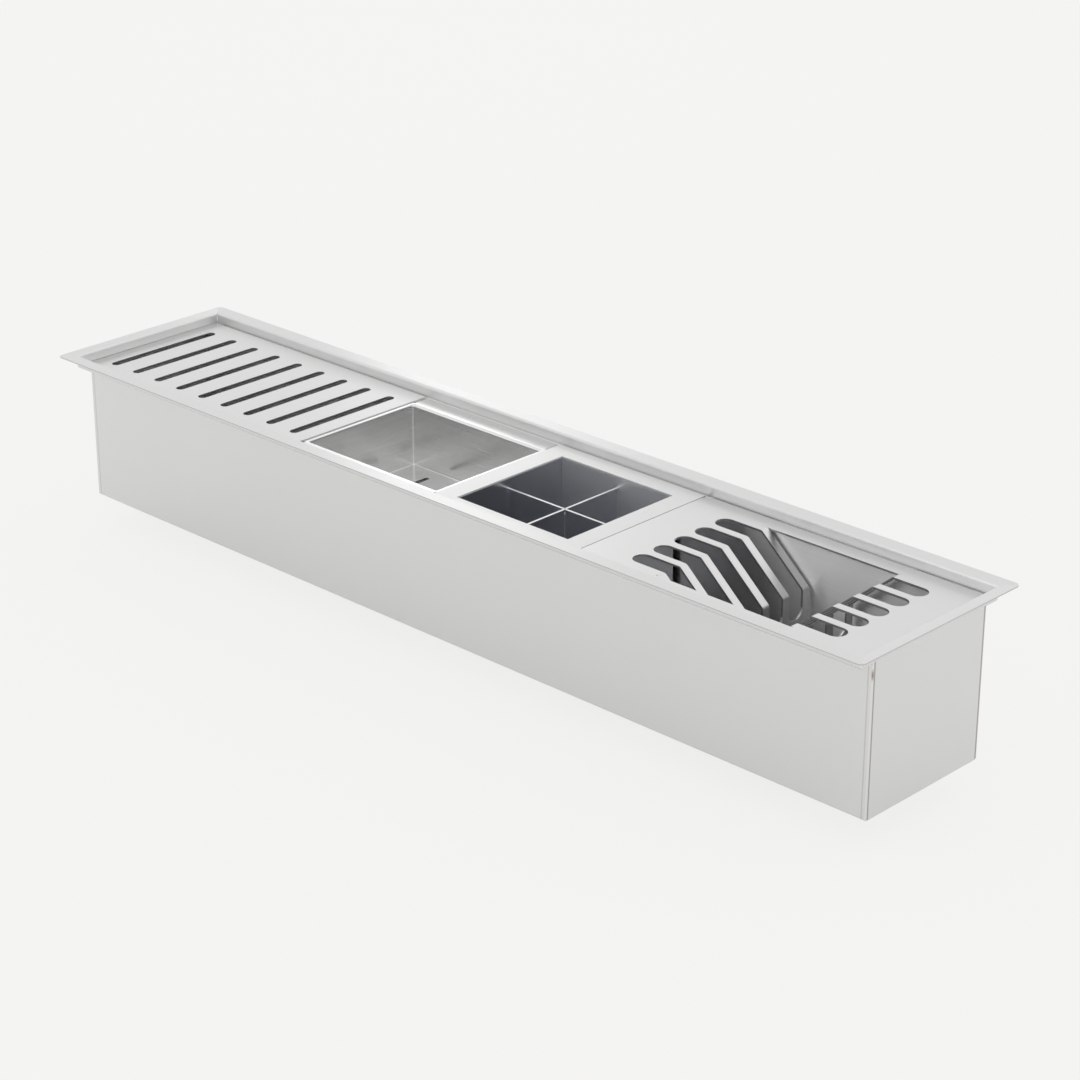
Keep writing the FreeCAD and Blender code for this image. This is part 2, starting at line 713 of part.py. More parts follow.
def make_rack_comb(label, sign):
    """End plate of the rack whose slots run on down a tongue with two bends."""
    body = new_body(label)
    edge = "rack_left" if sign == "-" else "rack_right"

    def out(distance):
        return f"rack_middle {sign} ({distance})"

    plate = sketch_on(body, "plate", "top", "ledge_top")
    outline(plate, [
        (out("rack_joint"), "-insert_half"),
        (edge, "-insert_half", "plate_corner"),
        (edge, "insert_half", "plate_corner"),
        (out("rack_joint"), "insert_half"),
    ])
    pad(body, plate, "plate_sheet")
    tongue = sketch_on(body, "tongue", "front")
    outline(tongue, [
        (out("rack_joint"), "plate_top"),
        (out("rack_bend_reach"), "plate_top", "rack_bend_outside"),
        (out("rack_gap_half"), "rack_elbow", "rack_bend_outside"),
        (out("rack_gap_half"), "rack_tongue_end"),
        (out("rack_gap_half + plate_sheet"), "rack_tongue_end"),
        (out("rack_gap_half + plate_sheet"), "rack_elbow_under", "rack_bend"),
        (out("rack_bend_under"), "ledge_top", "rack_bend"),
        (out("rack_joint"), "ledge_top"),
    ])
    pad(body, tongue, f"{tongue_half()} * 2", both=True)
    count, row = rack_row()
    first = f"-{row} / 2"
    radius = "rack_slot_width / 2"
    level_run = sketch_on(body, "level_run", "top")
    slot(level_run, (out("rack_slot_reach - rack_slot_width / 2"), first),
         (out("rack_gap_half - rack_slot_width"), first), radius)
    upper = cut(body, level_run, "-rack_slot_turn")
    upright_run = sketch_on(body, "upright_run", "side",
                            out("rack_gap_half") + (" + " if sign == "-" else " + plate_sheet + ") + "cut_margin")
    slot(upright_run, (first, "rack_slot_turn"), (first, "rack_slot_turn + rack_slot_width"), radius)
    lower = cut(body, upright_run, "plate_sheet + 2 * cut_margin")
    repeat(body, [upper, lower], "Y_Axis", row, count)
    return body


def make_rack_rail(label, sign):
    """Strip that joins the two combs beside their tongues."""
    body = new_body(label)
    strip = sketch_on(body, "strip", "top", "ledge_top")
    inner = f"{tongue_half()} + rail_play"
    outline(strip, [
        ("rack_middle - rack_joint", f"{sign}({inner})"),
        ("rack_middle + rack_joint", f"{sign}({inner})"),
        ("rack_middle + rack_joint", f"{sign}(insert_half)"),
        ("rack_middle - rack_joint", f"{sign}(insert_half)"),
    ])
    pad(body, strip, "plate_sheet")
    return body


def turned(label, corners):
    """Body turned about the upright axis of the waste."""
    body = new_body(label)
    body.setExpression("Placement.Base.x", formula("rack_middle"))
    section = sketch_on(body, "section", "front")
    outline(section, corners)
    turn_about_upright(body, section)
    return body


def make_waste():
    """Waste bedded on the floor, and the gasket and nut that clamp it from below."""
    turned("drain_body", [
        ("waste_bore_radius", "waste_end"),
        ("waste_tail_radius", "waste_end"),
        ("waste_tail_radius", "waste_shoulder"),
        ("waste_neck_radius", "waste_shoulder"),
        ("waste_neck_radius", "floor_top"),
        ("waste_flange_radius", "floor_top"),
        ("waste_flange_radius", "floor_top + waste_flange_edge"),
        ("waste_flange_radius - waste_flange_slope", "waste_top"),
        ("waste_seat_radius", "waste_top"),
        ("waste_seat_radius", "waste_seat"),
        ("waste_bore_radius", "waste_seat"),
    ])
    turned("drain_gasket", [
        ("waste_neck_radius + gasket_play", "nut_top"),
        ("gasket_radius", "nut_top"),
        ("gasket_radius", "floor_under"),
        ("waste_neck_radius + gasket_play", "floor_under"),
    ])
    nut = new_body("drain_locknut")
    nut.setExpression("Placement.Base.x", formula("rack_middle"))
    hexagon = sketch_on(nut, "hexagon", "top", "waste_shoulder")
    outline(hexagon, [
        ("nut_reach", "0"),
        ("nut_reach / 2", "nut_flats / 2"),
        ("-nut_reach / 2", "nut_flats / 2"),
        ("-nut_reach", "0"),
        ("-nut_reach / 2", "-nut_flats / 2"),
        ("nut_reach / 2", "-nut_flats / 2"),
    ])
    circle(hexagon, "0", "0", "waste_neck_radius + thread_play")
    pad(nut, hexagon, "nut_height")


def make_strainer():
    """Perforated basket that drops into the mouth of the waste, and its knob."""
    basket = turned("strainer_basket", [
        ("0", "strainer_floor"),
        ("strainer_cup_radius", "strainer_floor"),
        ("strainer_cup_radius", "waste_seat"),
        ("strainer_rim_radius", "waste_seat"),
        ("strainer_rim_radius", "strainer_rim"),
        ("strainer_cup_radius - strainer_sheet", "strainer_rim"),
        ("strainer_cup_radius - strainer_sheet", "strainer_floor + strainer_sheet"),
        ("0", "strainer_floor + strainer_sheet"),
    ])
    hole = sketch_on(basket, "hole", "top")
    circle(hole, "strainer_hole_ring", "0", "strainer_hole_radius")
    repeat_round(basket, cut(basket, hole), STRAINER_HOLES)
    turned("strainer_knob", [
        ("0", "strainer_floor + strainer_sheet"),
        ("knob_stem_radius", "strainer_floor + strainer_sheet"),
        ("knob_stem_radius", "knob_top - knob_head"),
        ("knob_radius", "knob_top - knob_head"),
        ("knob_radius", "knob_top - knob_head / 2"),
        ("knob_crown", "knob_top"),
        ("0", "knob_top"),
    ])


def check_and_write():
    """Stop at any failed object, then write one file for each body."""
    DOC.recompute()
    for item in DOC.Objects:
        if "Invalid" in item.State or "Error" in item.State:
            raise RuntimeError(f"{item.Name} did not compute")
    os.makedirs("parts", exist_ok=True)
    for item in DOC.Objects:
        if item.TypeId != "PartDesign::Body":
            continue
        if item.Shape.isNull() or not item.Shape.isValid() or len(item.Shape.Solids) != 1:
            raise RuntimeError(f"{item.Label} is not one sound solid")
        item.Shape.exportStep(f"parts/{item.Label}.step")


make_channel()
for hand, direction in (("left", "-"), ("right", "+")):
    end_panel = make_end_panel(f"{hand}_end_panel", direction)
    make_end_weld(f"{hand}_end_weld", direction, end_panel)
make_waste()
make_strainer()
make_grate()
make_bin()
make_cutlery_plate()
make_cutlery_shell()
make_cutlery_wall("cutlery_left_wall", "-")
make_cutlery_wall("cutlery_right_wall", "+")
make_divider_long()
make_divider_cross()
make_rack_comb("rack_left_comb", "-")
make_rack_comb("rack_right_comb", "+")
make_rack_rail("rack_front_rail", "-")
make_rack_rail("rack_back_rail", "+")
check_and_write()
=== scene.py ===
"""Looks of a countertop wet trough: folded sheets, inserts and waste, their finishes and a plain stage."""

import math

import bmesh
import bpy
from bpy.props import FloatProperty, FloatVectorProperty, IntProperty, PointerProperty
from bpy.types import Operator, Panel, PropertyGroup
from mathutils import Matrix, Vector


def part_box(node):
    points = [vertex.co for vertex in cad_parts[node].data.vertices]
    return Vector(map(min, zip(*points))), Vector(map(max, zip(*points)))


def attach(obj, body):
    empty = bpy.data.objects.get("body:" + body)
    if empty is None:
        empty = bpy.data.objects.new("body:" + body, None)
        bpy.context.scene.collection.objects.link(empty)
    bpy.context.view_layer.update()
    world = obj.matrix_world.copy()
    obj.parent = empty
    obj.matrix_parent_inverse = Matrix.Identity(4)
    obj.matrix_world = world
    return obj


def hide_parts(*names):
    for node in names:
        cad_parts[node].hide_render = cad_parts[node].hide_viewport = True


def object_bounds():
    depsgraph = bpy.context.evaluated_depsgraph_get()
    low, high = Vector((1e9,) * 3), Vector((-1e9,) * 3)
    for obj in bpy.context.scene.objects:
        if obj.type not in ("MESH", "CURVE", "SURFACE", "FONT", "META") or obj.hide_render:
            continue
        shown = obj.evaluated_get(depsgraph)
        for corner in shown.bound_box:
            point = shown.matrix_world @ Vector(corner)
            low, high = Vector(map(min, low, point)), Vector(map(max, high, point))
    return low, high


bl_info = {
    "name": "Countertop wet trough",
    "version": (1, 0, 0),
    "blender": (4, 5, 0),
    "location": "View3D > Sidebar > Trough",
    "description": "Models the folded sheets of a wet trough and its inserts over the packed parts",
    "category": "Object",
}

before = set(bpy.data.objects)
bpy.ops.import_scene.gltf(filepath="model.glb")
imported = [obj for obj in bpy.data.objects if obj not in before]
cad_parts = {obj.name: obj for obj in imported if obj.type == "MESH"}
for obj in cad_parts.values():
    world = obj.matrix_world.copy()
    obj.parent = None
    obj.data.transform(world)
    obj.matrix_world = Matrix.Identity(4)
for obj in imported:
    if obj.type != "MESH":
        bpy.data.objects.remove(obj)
CAD_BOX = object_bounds()

MM = 0.001
TOUCH = 0.02 * MM  # two places nearer than this are the same place
AXIS = TOUCH / 4  # radius of a ring that closes to a point on its axis
FACING = 0.3  # a face whose normal has this share along an axis looks that way
WORKTOP = 0.0  # height of the worktop that the flange lies on
BEND_STEPS = 8  # faces round a right-angle bend
SLOT_STEPS = 14  # faces round a quarter of a slot's end
SLOT_END = 0.4999  # radius of a slot's end as a share of its width, short of a half so that it stays open
FLANGE_STEPS = 12  # cuts round a corner of the flange
ROUND_STEPS = 96  # faces round a turned piece
SHARP = math.radians(50)  # edges that turn more than this are cut edges, not bends
SMOOTH = math.radians(34)  # edges that turn less than this are shaded smooth
FLOOR_RADIUS = 14.0
SENSOR = 36.0  # width of the camera's sensor in millimetres

# Grain, weld marks and painted light and shade of the sheets
MIDDLE_NOISE = (0.3, 0.7)  # range that most of a noise lies in
LENGTHWISE = (14.0, 900.0, 900.0)  # how often the grain repeats in a metre along x, y and z
CROSSWISE = (900.0, 14.0, 900.0)
UPRIGHT = (900.0, 900.0, 14.0)
AROUND = (20.0, 20.0, 900.0)
POLISHED = (300.0, 300.0, 300.0)
CLOUDS = 9.0  # broad clouds in a metre
CLOUD_TONE = 1.03
CLOUD_SHARE = 0.5  # how far a cloud takes the paint to its tone
CLOUD_GLOSS = 0.015
WAVE = 0.08 * MM  # how far the sheet waves in and out
LINE_DEPTH = 0.008  # height of the grain's lines as a share of the waves
INNER_PAINTED_LIGHT = (1.23, 1.31)  # painted light: the trough's coarse inner faces are painted lighter, as shares of its colour, to stand for light in the hollow
INNER_ROUGHNESS = 0.14  # what the inner faces add to the roughness
OUTER_TONE = 0.97  # lightness of its outer faces
OUTER_SMOOTHNESS = 0.07  # what the outer faces take off the roughness
UNDERSIDE = 0.5 * MM  # faces no higher than this above the trough's lowest level belong to its underside
RIM_PAINTED_SHADE = 0.75  # lightness of the flange's rim, the rack and the dividers, as shares of their steels; the rim is painted darker as a painted shade line under the flange's edge
# painted shade: the rack is painted darker than the other inserts of the same sheet, so its lit tongues come
# out dimmer
RACK_PAINTED_SHADE = 0.86
# painted light: the dividers are painted lighter than the box's sides of the same sheet, to stand for light
# in the cells
DIVIDER_PAINTED_LIGHT = 1.15
HEM = 1.5  # width of a divider's upper edge as a share of its sheet
TACK = 1.1 * MM  # radius of a tack weld
TACK_REACH = 7.0 * MM  # how far a tack weld marks the sheet round it
TACK_DENT = 0.2 * MM
CORNER_REACH = 26.0 * MM  # how far the welded corners of the bin are drawn in
CORNER_DENT = 0.08 * MM
STRAW_INSET = 3.2 * MM  # end panel to the straw tint on the channel
STRAW_WIDTH = 1.0 * MM
BROWN_INSET = 1.1 * MM  # long wall to the brown tint on an end panel
BROWN_WIDTH = 1.4 * MM
SPOT_DROP = 11.0 * MM  # ledge to the brown spot on a bead
SPOT_REACH = 7.0 * MM

# Surface of the rubber and plastic, and paper of the floor
MOTTLES = 60.0  # mottles in a metre
MOTTLE_TONES = (0.88, 1.1)
PEBBLE = 0.1 * MM  # depth of the pebbles
PEBBLE_GLOSS = 0.08
FIBRES = 400.0  # fibres in a metre
FIBRE_TONE = 0.997

# Soft lamps: place, size across and size up
LAMPS = {
    "back": ((-1.96, 1.83, 1.15), 0.22, 1.2),
    "front": ((-0.6, -2.6, 1.4), 2.0, 1.2),
    "top": ((0.8, 1.7, 1.8), 1.6, 1.0),
}

# Inner faces of the trough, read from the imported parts.
END_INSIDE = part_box("right_end_panel")[0].x
FLANGE_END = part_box("right_end_panel")[1].x
FLANGE_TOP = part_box("trough_channel")[1].z
FLANGE_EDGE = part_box("trough_channel")[1].y
FLOOR_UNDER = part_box("trough_channel")[0].z
LEDGE_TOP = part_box("grate_plate")[0].z
WELD_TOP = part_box("right_end_weld")[1].z
WELD_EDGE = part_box("right_end_weld")[1].y


# Sizes, colours and stage that a user would change


def length(name, description, millimetres):
    return FloatProperty(
        name=name, description=description, default=millimetres * MM, unit="LENGTH", precision=5)


def angle(name, description, degrees):
    return FloatProperty(name=name, description=description, default=math.radians(degrees), subtype="ANGLE")


def share(name, description, default):
    return FloatProperty(
        name=name, description=description, default=default, subtype="FACTOR", min=0, max=1)


def power(name, description, watts):
    return FloatProperty(name=name, description=description, default=watts, unit="POWER", min=0)


def count(name, description, default):
    return IntProperty(name=name, description=description, default=default, min=1)


def colour(name, description, *default):
    return FloatVectorProperty(
        name=name, description=description, default=default, subtype="COLOR", min=0, max=1)


class TroughSizes(PropertyGroup):
    """Sheets, bends and cut-outs of the trough and its inserts."""

    sheet: length("Trough sheet", "Thickness of the channel and the end panels", 1.2)
    bend: length("Trough bend", "Inside radius of the trough's bends", 1.5)
    wall: length("Wall", "Middle of the trough to the inside of a long wall", 73.0)
    flange_corner: length("Flange corner", "Radius of the flange's four corners", 5.0)
    drain_hole: length("Drain hole", "Radius of the hole for the waste", 22.5)
    plate: length("Plate sheet", "Thickness of the grate, rack and cutlery plates", 2.0)
    plate_corner: length("Plate corner", "Radius of the outer corners of the end plates", 8.0)
    ease: length("Eased edge", "How far cut edges are rounded off", 0.25)
    grate_slot: length("Grate slot", "Width of a slot of the grate", 9.2)
    grate_pitch: length("Grate pitch", "Distance between slots of the grate", 33.0)
    grate_reach: length("Grate reach", "Middle of the grate to the end of a slot", 65.0)
    grate_count: count("Grate slots", "Number of slots in the grate", 9)
    bin_sheet: length("Bin sheet", "Thickness of the bin", 1.0)
    bin_bend: length("Bin bend", "Inside radius of the bin's bends", 1.5)
    bin_lip: length("Bin lip", "Inside of a short wall to the edge of its lip", 3.5)
    bin_half: length("Bin half width", "Middle of the bin to the inside of a long wall", 66.0)
    bin_notch: length("Bin notch", "How far the corners of the bin's lip are cut back", 2.4)
    bin_corner: length("Bin corner", "Radius of the welded upright corners of the bin", 1.9)
    bin_slot: length("Bin slot", "Width of a drain slot of the bin", 5.0)
    bin_count: count("Bin slots", "Number of drain slots of the bin", 3)
    bin_pitch: length("Bin pitch", "Distance between drain slots of the bin", 49.3)
    bin_reach: length("Bin reach", "Middle of the bin to the end of a drain slot", 51.0)
    box_sheet: length("Box sheet", "Thickness of the cutlery box", 1.0)
    box_bend: length("Box bend", "Inside radius of the box's bends", 1.5)
    box_drain: length("Box drain", "Radius of a drain hole of the box", 6.0)
    hem: length("Hem", "Height of the thickened upper edge of a divider", 1.6)
    lap_play: length("Lap play", "Play between the two dividers where they cross", 0.1)
    rack_slot: length("Rack slot", "Width of a slot of the dish rack", 18.2)
    rack_pitch: length("Rack pitch", "Distance between slots of the dish rack", 26.45)
    rack_count: count("Rack slots", "Number of slots in each comb", 5)
    rack_reach: length("Rack reach", "Middle of the rack to the far end of a slot", 112.0)
    rack_fold: length("Rack fold", "Middle of the rack to the upper bend of a tongue", 70.0)
    rack_bend: length("Rack bend", "Inside radius of the tongue's bends", 2.0)
    rack_slant: angle("Rack slant", "Slope of a tongue", 41)
    rack_web: length("Rack web", "Foot of a slot to the end of the tongue", 10.0)
    rack_play: length("Rack play", "Gap between a tongue and a rail", 0.3)
    waste_neck: length("Waste neck", "Radius over the thread of the waste", 20.95)
    waste_tail: length("Waste tail", "Radius of the outlet tail", 20.0)
    waste_bore: length("Waste bore", "Radius of the waterway", 17.0)
    waste_seat: length("Waste seat", "Radius of the step that the strainer sits on", 19.6)
    waste_rim: length("Waste rim", "Height of the waste's flange at its edge", 1.2)
    waste_slope: length("Waste slope", "Width of the slope at the edge of the flange", 4.0)
    thread_pitch: length("Thread pitch", "Distance between ridges of the thread", 1.5)
    thread_depth: length("Thread depth", "Height of a ridge of the thread", 0.6)
    gasket_play: length("Gasket play", "Gap between the neck and the gasket round it", 0.4)
    nut_play: length("Nut play", "Gap between the neck and the nut", 0.3)
    strainer_sheet: length("Strainer sheet", "Thickness of the basket", 0.8)
    strainer_hole: length("Strainer hole", "Radius of a hole of the basket", 2.0)
    strainer_ring: length("Strainer ring", "Axis of the basket to the middle of a hole", 10.2)
    strainer_holes: count("Strainer holes", "Number of holes in the basket", 6)
    knob_stem: length("Knob stem", "Radius of the knob's stem", 2.5)
    knob_head: length("Knob head", "Height of the knob's head", 4.0)
    knob_crown: length("Knob crown", "Radius of the flat on top of the knob", 3.6)


class TroughFinishes(PropertyGroup):
    """Colours of the metals, seals and plastics."""

    steel: colour("Steel", "Brushed stainless sheet", 0.74, 0.74, 0.735)
    insert_steel: colour("Insert steel", "Finer sheet of the inserts", 0.785, 0.785, 0.78)
    # painted shade: cut faces are dull, and also painted dark to stand for the shade in slots and in the
    # gaps between plates
    cut_steel: colour("Cut steel", "Dull cut edge of a thick plate", 0.42, 0.42, 0.43)
    bin_steel: colour("Bin steel", "Glossy sheet of the bin", 0.755, 0.755, 0.75)
    # painted light: the box's sheet is painted far lighter than steel to stand for light inside the box; its
    # cool tone is its own
    box_steel: colour("Box steel", "Cool sheet of the cutlery box", 0.96, 0.965, 0.98)
    side_steel: colour("Side steel", "Dark sheet of the box's sides and dividers", 0.67, 0.685, 0.725)
    straw: colour("Straw tint", "Light heat tint beside a weld", 0.46, 0.425, 0.40)
    brown: colour("Brown tint", "Dark heat tint along the foot of a weld", 0.27, 0.21, 0.19)
    chrome: colour("Chrome", "Polished waste and strainer", 0.80, 0.80, 0.80)
    rubber: colour("Rubber", "Gasket of the waste", 0.035, 0.035, 0.036)
    nut: colour("Nut", "Moulded locknut of the waste", 0.16, 0.16, 0.165)


class TroughStage(PropertyGroup):
    """Floor, lamps and camera."""

    ground: colour("Ground", "Colour of the floor and of the surroundings", 0.905, 0.905, 0.89)
    evenness: share("Evenness", "How far the floor shows its plain colour in place of the shade on it", 0.9)
    mirror_evenness: share("Mirror evenness", "The same for the floor that shows in the steel", 0.3)
    fill: FloatProperty(name="Fill", description="Strength of the even light", default=1.0, min=0)
    back: power("Back lamp", "Power of the narrow soft lamp behind on the left", 1.2)
    front: power("Front lamp", "Power of the broad soft lamp in front", 3.8)
    top: power("Top lamp", "Power of the soft lamp high up behind", 0.6)
    azimuth: angle("Azimuth", "Camera's turn about the trough", 43.95)
    elevation: angle("Elevation", "Camera's height angle", 23.51)
    distance: length("Distance", "Camera to the point it looks at", 2586.8)
    aim: FloatVectorProperty(
        name="Aim", description="Point that the camera looks at", default=(0.05033, 0.00831, -0.06534),
        subtype="XYZ", unit="LENGTH")
    lens: FloatProperty(name="Lens", description="Focal length in millimetres", default=96.08, min=1)


# Modelling steps that the pieces share


def rest():
    """Leaves edit mode and lets go of every object."""
    if bpy.context.mode != "OBJECT":
        bpy.ops.object.mode_set(mode="OBJECT")
    bpy.ops.object.select_all(action="DESELECT")


def hold(piece):
    """Makes a piece the only selected, active object."""
    rest()
    piece.select_set(True)
    bpy.context.view_layer.objects.active = piece


def edit(piece):
    hold(piece)
    bpy.ops.object.mode_set(mode="EDIT")


def settle(name):
    """Names the new object and puts its place, turn and scale into its mesh."""
    piece = bpy.context.object
    piece.name = name
    piece.data.name = name
    bpy.ops.object.transform_apply(location=True, rotation=True, scale=True)
    return piece


def add_sheet(name, low, high):
    """A flat sheet between two corners that share their x, y or z."""
    rest()
    low = Vector(low)
    high = Vector(high)
    run = high - low
    turn = (0, 0, 0)
    scale = (run.x, run.y, 1)
    if run.x == 0:
        turn = (0, math.pi / 2, 0)
        scale = (run.z, run.y, 1)
    elif run.y == 0:
        turn = (math.pi / 2, 0, 0)
        scale = (run.x, run.z, 1)
    bpy.ops.mesh.primitive_plane_add(size=1, location=(low + high) / 2, rotation=turn)
    bpy.context.object.scale = scale
    return settle(name)


def add_block(name, low, high):
    rest()
    low = Vector(low)
    high = Vector(high)
    bpy.ops.mesh.primitive_cube_add(size=1, location=(low + high) / 2)
    bpy.context.object.scale = high - low
    return settle(name)


def lies_at(**place):
    """A test for corners at the given x, y or z, or at the given distance out (|y|) or along (|x|)."""
    def where(corner, axis):
        if axis == "out":
            return abs(corner.co.y)
        if axis == "along":
            return abs(corner.co.x)
        return getattr(corner.co, axis)

    def test(element):
        corners = getattr(element, "verts", None) or [element]
        return all(abs(where(c, axis) - value) < TOUCH for c in corners for axis, value in place.items())
    return test


def is_cut_edge(edge):
    return len(edge.link_faces) == 2 and edge.calc_face_angle() > SHARP


def pick(kind, wanted):
    """Selects the corners, edges or faces of the piece in edit mode that pass a test."""
    bpy.ops.mesh.select_mode(type=kind)
    bpy.ops.mesh.select_all(action="DESELECT")
    mesh = bmesh.from_edit_mesh(bpy.context.object.data)
    elements = {"VERT": mesh.verts, "EDGE": mesh.edges, "FACE": mesh.faces}[kind]
    found = [element for element in elements if wanted(element)]
    if not found:
        raise RuntimeError(f"{bpy.context.object.name}: nothing to select")
    for element in found:
        element.select_set(True)
    bmesh.update_edit_mesh(bpy.context.object.data)


def fold(*move):
    """Carries the selected edges on as a new face of the sheet."""
    bpy.ops.mesh.extrude_edges_move(TRANSFORM_OT_translate={"value": move})


def bend(radius, turn=math.pi / 2):
    """Rounds the selected fold lines to a radius; turn is how far the sheet turns there."""
    steps = max(3, round(BEND_STEPS * turn / (math.pi / 2)))
    bpy.ops.mesh.bevel(
        offset=radius * math.tan(turn / 2), offset_type="OFFSET", segments=steps, affect="EDGES",
        clamp_overlap=False)


def round_corners(radius):
    """Rounds the selected corners of a flat sheet."""
    bpy.ops.mesh.bevel(
        offset=radius, offset_type="OFFSET", segments=BEND_STEPS, affect="VERTICES", clamp_overlap=False)


def trim(place, outward):
    """Cuts the selected faces by a plane and drops what lies on its outward side."""
    bpy.ops.mesh.bisect(plane_co=place, plane_no=outward, clear_outer=True, threshold=TOUCH)


def apply(piece, kind, **settings):
    """Adds a modifier with its settings and applies it."""
    hold(piece)
    modifier = piece.modifiers.new(kind.lower(), kind)
    for name, value in settings.items():
        setattr(modifier, name, value)
    bpy.ops.object.modifier_apply(modifier=modifier.name)


def thicken(piece, thickness, direction, wanted):
    """Gives a sheet its thickness, behind the side whose faces pass a test and look in a direction."""
    bpy.ops.mesh.select_all(action="SELECT")
    bpy.ops.mesh.normals_make_consistent(inside=False)
    mesh = bmesh.from_edit_mesh(piece.data)
    face = next(face for face in mesh.faces if wanted(face))
    if face.normal.dot(Vector(direction)) < 0:
        bpy.ops.mesh.flip_normals()
    apply(piece, "SOLIDIFY", thickness=thickness, offset=-1.0, use_even_offset=True)


def cut(piece, cutter):
    """Takes a cutter's shape out of a piece and throws the cutter away."""
    apply(piece, "BOOLEAN", operation="DIFFERENCE", solver="EXACT", object=cutter)
    bpy.data.objects.remove(cutter)


def row(piece, number, *step):
    """Repeats a piece along a line."""
    apply(
        piece, "ARRAY", count=number, use_relative_offset=False, use_constant_offset=True,
        constant_offset_displace=step)


def slot_cutter(low, high, across, ends):
    """A block whose ends are round: across is the axis of its width, ends are the ends to round."""
    cutter = add_block("cutter", low, high)
    side = "xyz".index(across)

    def is_end_edge(edge):
        first, second = (corner.co[side] for corner in edge.verts)
        return abs(first - second) < TOUCH and any(lies_at(**{axis: place})(edge) for axis, place in ends)

    edit(cutter)
    pick("EDGE", is_end_edge)
    bpy.ops.mesh.bevel(offset=SLOT_END * (high[side] - low[side]), segments=SLOT_STEPS, affect="EDGES")
    rest()
    return cutter


def cut_slots_across(piece, first, width, reach, bottom, top, number, pitch):
    """Cuts a row of slots across the trough, with round ends; first is the middle of the first slot."""
    half = width / 2
    cutter = slot_cutter(
        (first - half, -reach, bottom), (first + half, reach, top), "x", (("y", -reach), ("y", reach)))
    row(cutter, number, pitch, 0, 0)
    cut(piece, cutter)


def drill(piece, place, radius, depth, steps=ROUND_STEPS):
    """Makes a round hole down through a piece."""
    rest()
    bpy.ops.mesh.primitive_cylinder_add(vertices=steps, radius=radius, depth=depth, location=place)
    cut(piece, settle("cutter"))


def ease_edges(piece, width, seam=None):
    """Rounds off the cut edges of a piece, except those along a seam with its neighbour."""
    edit(piece)
    pick("EDGE", lambda edge: is_cut_edge(edge) and not (seam and seam(edge)))
    bpy.ops.mesh.bevel(offset=width, segments=2, affect="EDGES", clamp_overlap=True)
    rest()


def add_tack(piece, place, run=TACK):
    """Melts a small weld dot onto a piece, or a bead that runs up and down from there."""
    rest()
    bpy.ops.mesh.primitive_uv_sphere_add(segments=16, ring_count=8, radius=TACK, location=place)
    bpy.context.object.scale.z = run / TACK
    dot = settle("tack")
    hold(piece)
    dot.select_set(True)
    bpy.ops.object.join()


def turned(name, centre, profile):
    """A turned piece: a circle carried along a profile of (radius, height), closed on itself or its axis."""
    rest()
    radius, height = profile[0]
    bpy.ops.mesh.primitive_circle_add(
        vertices=ROUND_STEPS, radius=radius, fill_type="NOTHING", location=(centre.x, centre.y, height))
    piece = settle(name)
    edit(piece)
    bpy.ops.mesh.select_all(action="SELECT")
    for next_radius, next_height in profile[1:]:
        fold(0, 0, next_height - height)
        grow = next_radius / radius
        bpy.ops.transform.resize(value=(grow, grow, 1), center_override=(centre.x, centre.y, next_height))
        radius = next_radius
        height = next_height
    bpy.ops.mesh.select_all(action="SELECT")
    bpy.ops.mesh.remove_doubles(threshold=TOUCH)
    bpy.ops.mesh.normals_make_consistent(inside=False)
    rest()
    return piece


def middle_of(node):
    low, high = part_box(node)
    return (low + high) / 2


def is_cut_face(out):
    """A test for upright cut faces of a plate that lie nearer its middle line than a distance."""
    def test(face):
        return abs(face.normal.z) < FACING and abs(face.calc_center_median().y) < out
    return test


def finish(piece, look, body, slot, *nodes, cuts=()):
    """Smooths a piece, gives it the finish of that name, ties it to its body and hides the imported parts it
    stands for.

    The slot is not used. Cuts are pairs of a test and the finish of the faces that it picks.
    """
    hold(piece)
    bpy.ops.object.shade_smooth_by_angle(angle=SMOOTH)
    apply(piece, "WEIGHTED_NORMAL", mode="FACE_AREA", keep_sharp=True)
    piece.data.materials.clear()
    piece.data.materials.append(make_look(look))
    for index, (test, name) in enumerate(cuts, start=1):
        piece.data.materials.append(make_look(name))
        edit(piece)
        pick("FACE", test)
        piece.active_material_index = index
        bpy.ops.object.material_slot_assign()
    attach(piece, body)
    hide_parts(*nodes)
    rest()


# Shader groups and finishes


def add_node(tree, kind, inputs=None, **settings):
    """A node with its settings; an input takes a value, or a socket to link."""
    node = tree.nodes.new(kind)
    for name, value in settings.items():
        setattr(node, name, value)
    for name, value in (inputs or {}).items():
        if isinstance(value, bpy.types.NodeSocket):
            tree.links.new(value, node.inputs[name])
        else:
            node.inputs[name].default_value = value
    return node


def maths(tree, operation, first, second=0.0):
    return add_node(tree, "ShaderNodeMath", {0: first, 1: second}, operation=operation).outputs[0]


def ramp(tree, value, start, end, low, high, shape="LINEAR"):
    """Turns values from start to end into values from low to high."""
    return add_node(
        tree, "ShaderNodeMapRange",
        {"Value": value, "From Min": start, "From Max": end, "To Min": low, "To Max": high},
        interpolation_type=shape).outputs[0]


def spread(tree, noise, low, high):
    """Turns the middle part of a noise value into a range."""
    return ramp(tree, noise, *MIDDLE_NOISE, low, high)


def new_group(name, inputs, outputs):
    """An empty shader group with named sockets; returns its tree, its input node and its output node."""
    tree = bpy.data.node_groups.new(name, "ShaderNodeTree")
    for way, sockets in (("INPUT", inputs), ("OUTPUT", outputs)):
        for socket, kind in sockets.items():
            tree.interface.new_socket(socket, in_out=way, socket_type=f"NodeSocket{kind}")
    return tree, tree.nodes.new("NodeGroupInput"), tree.nodes.new("NodeGroupOutput")


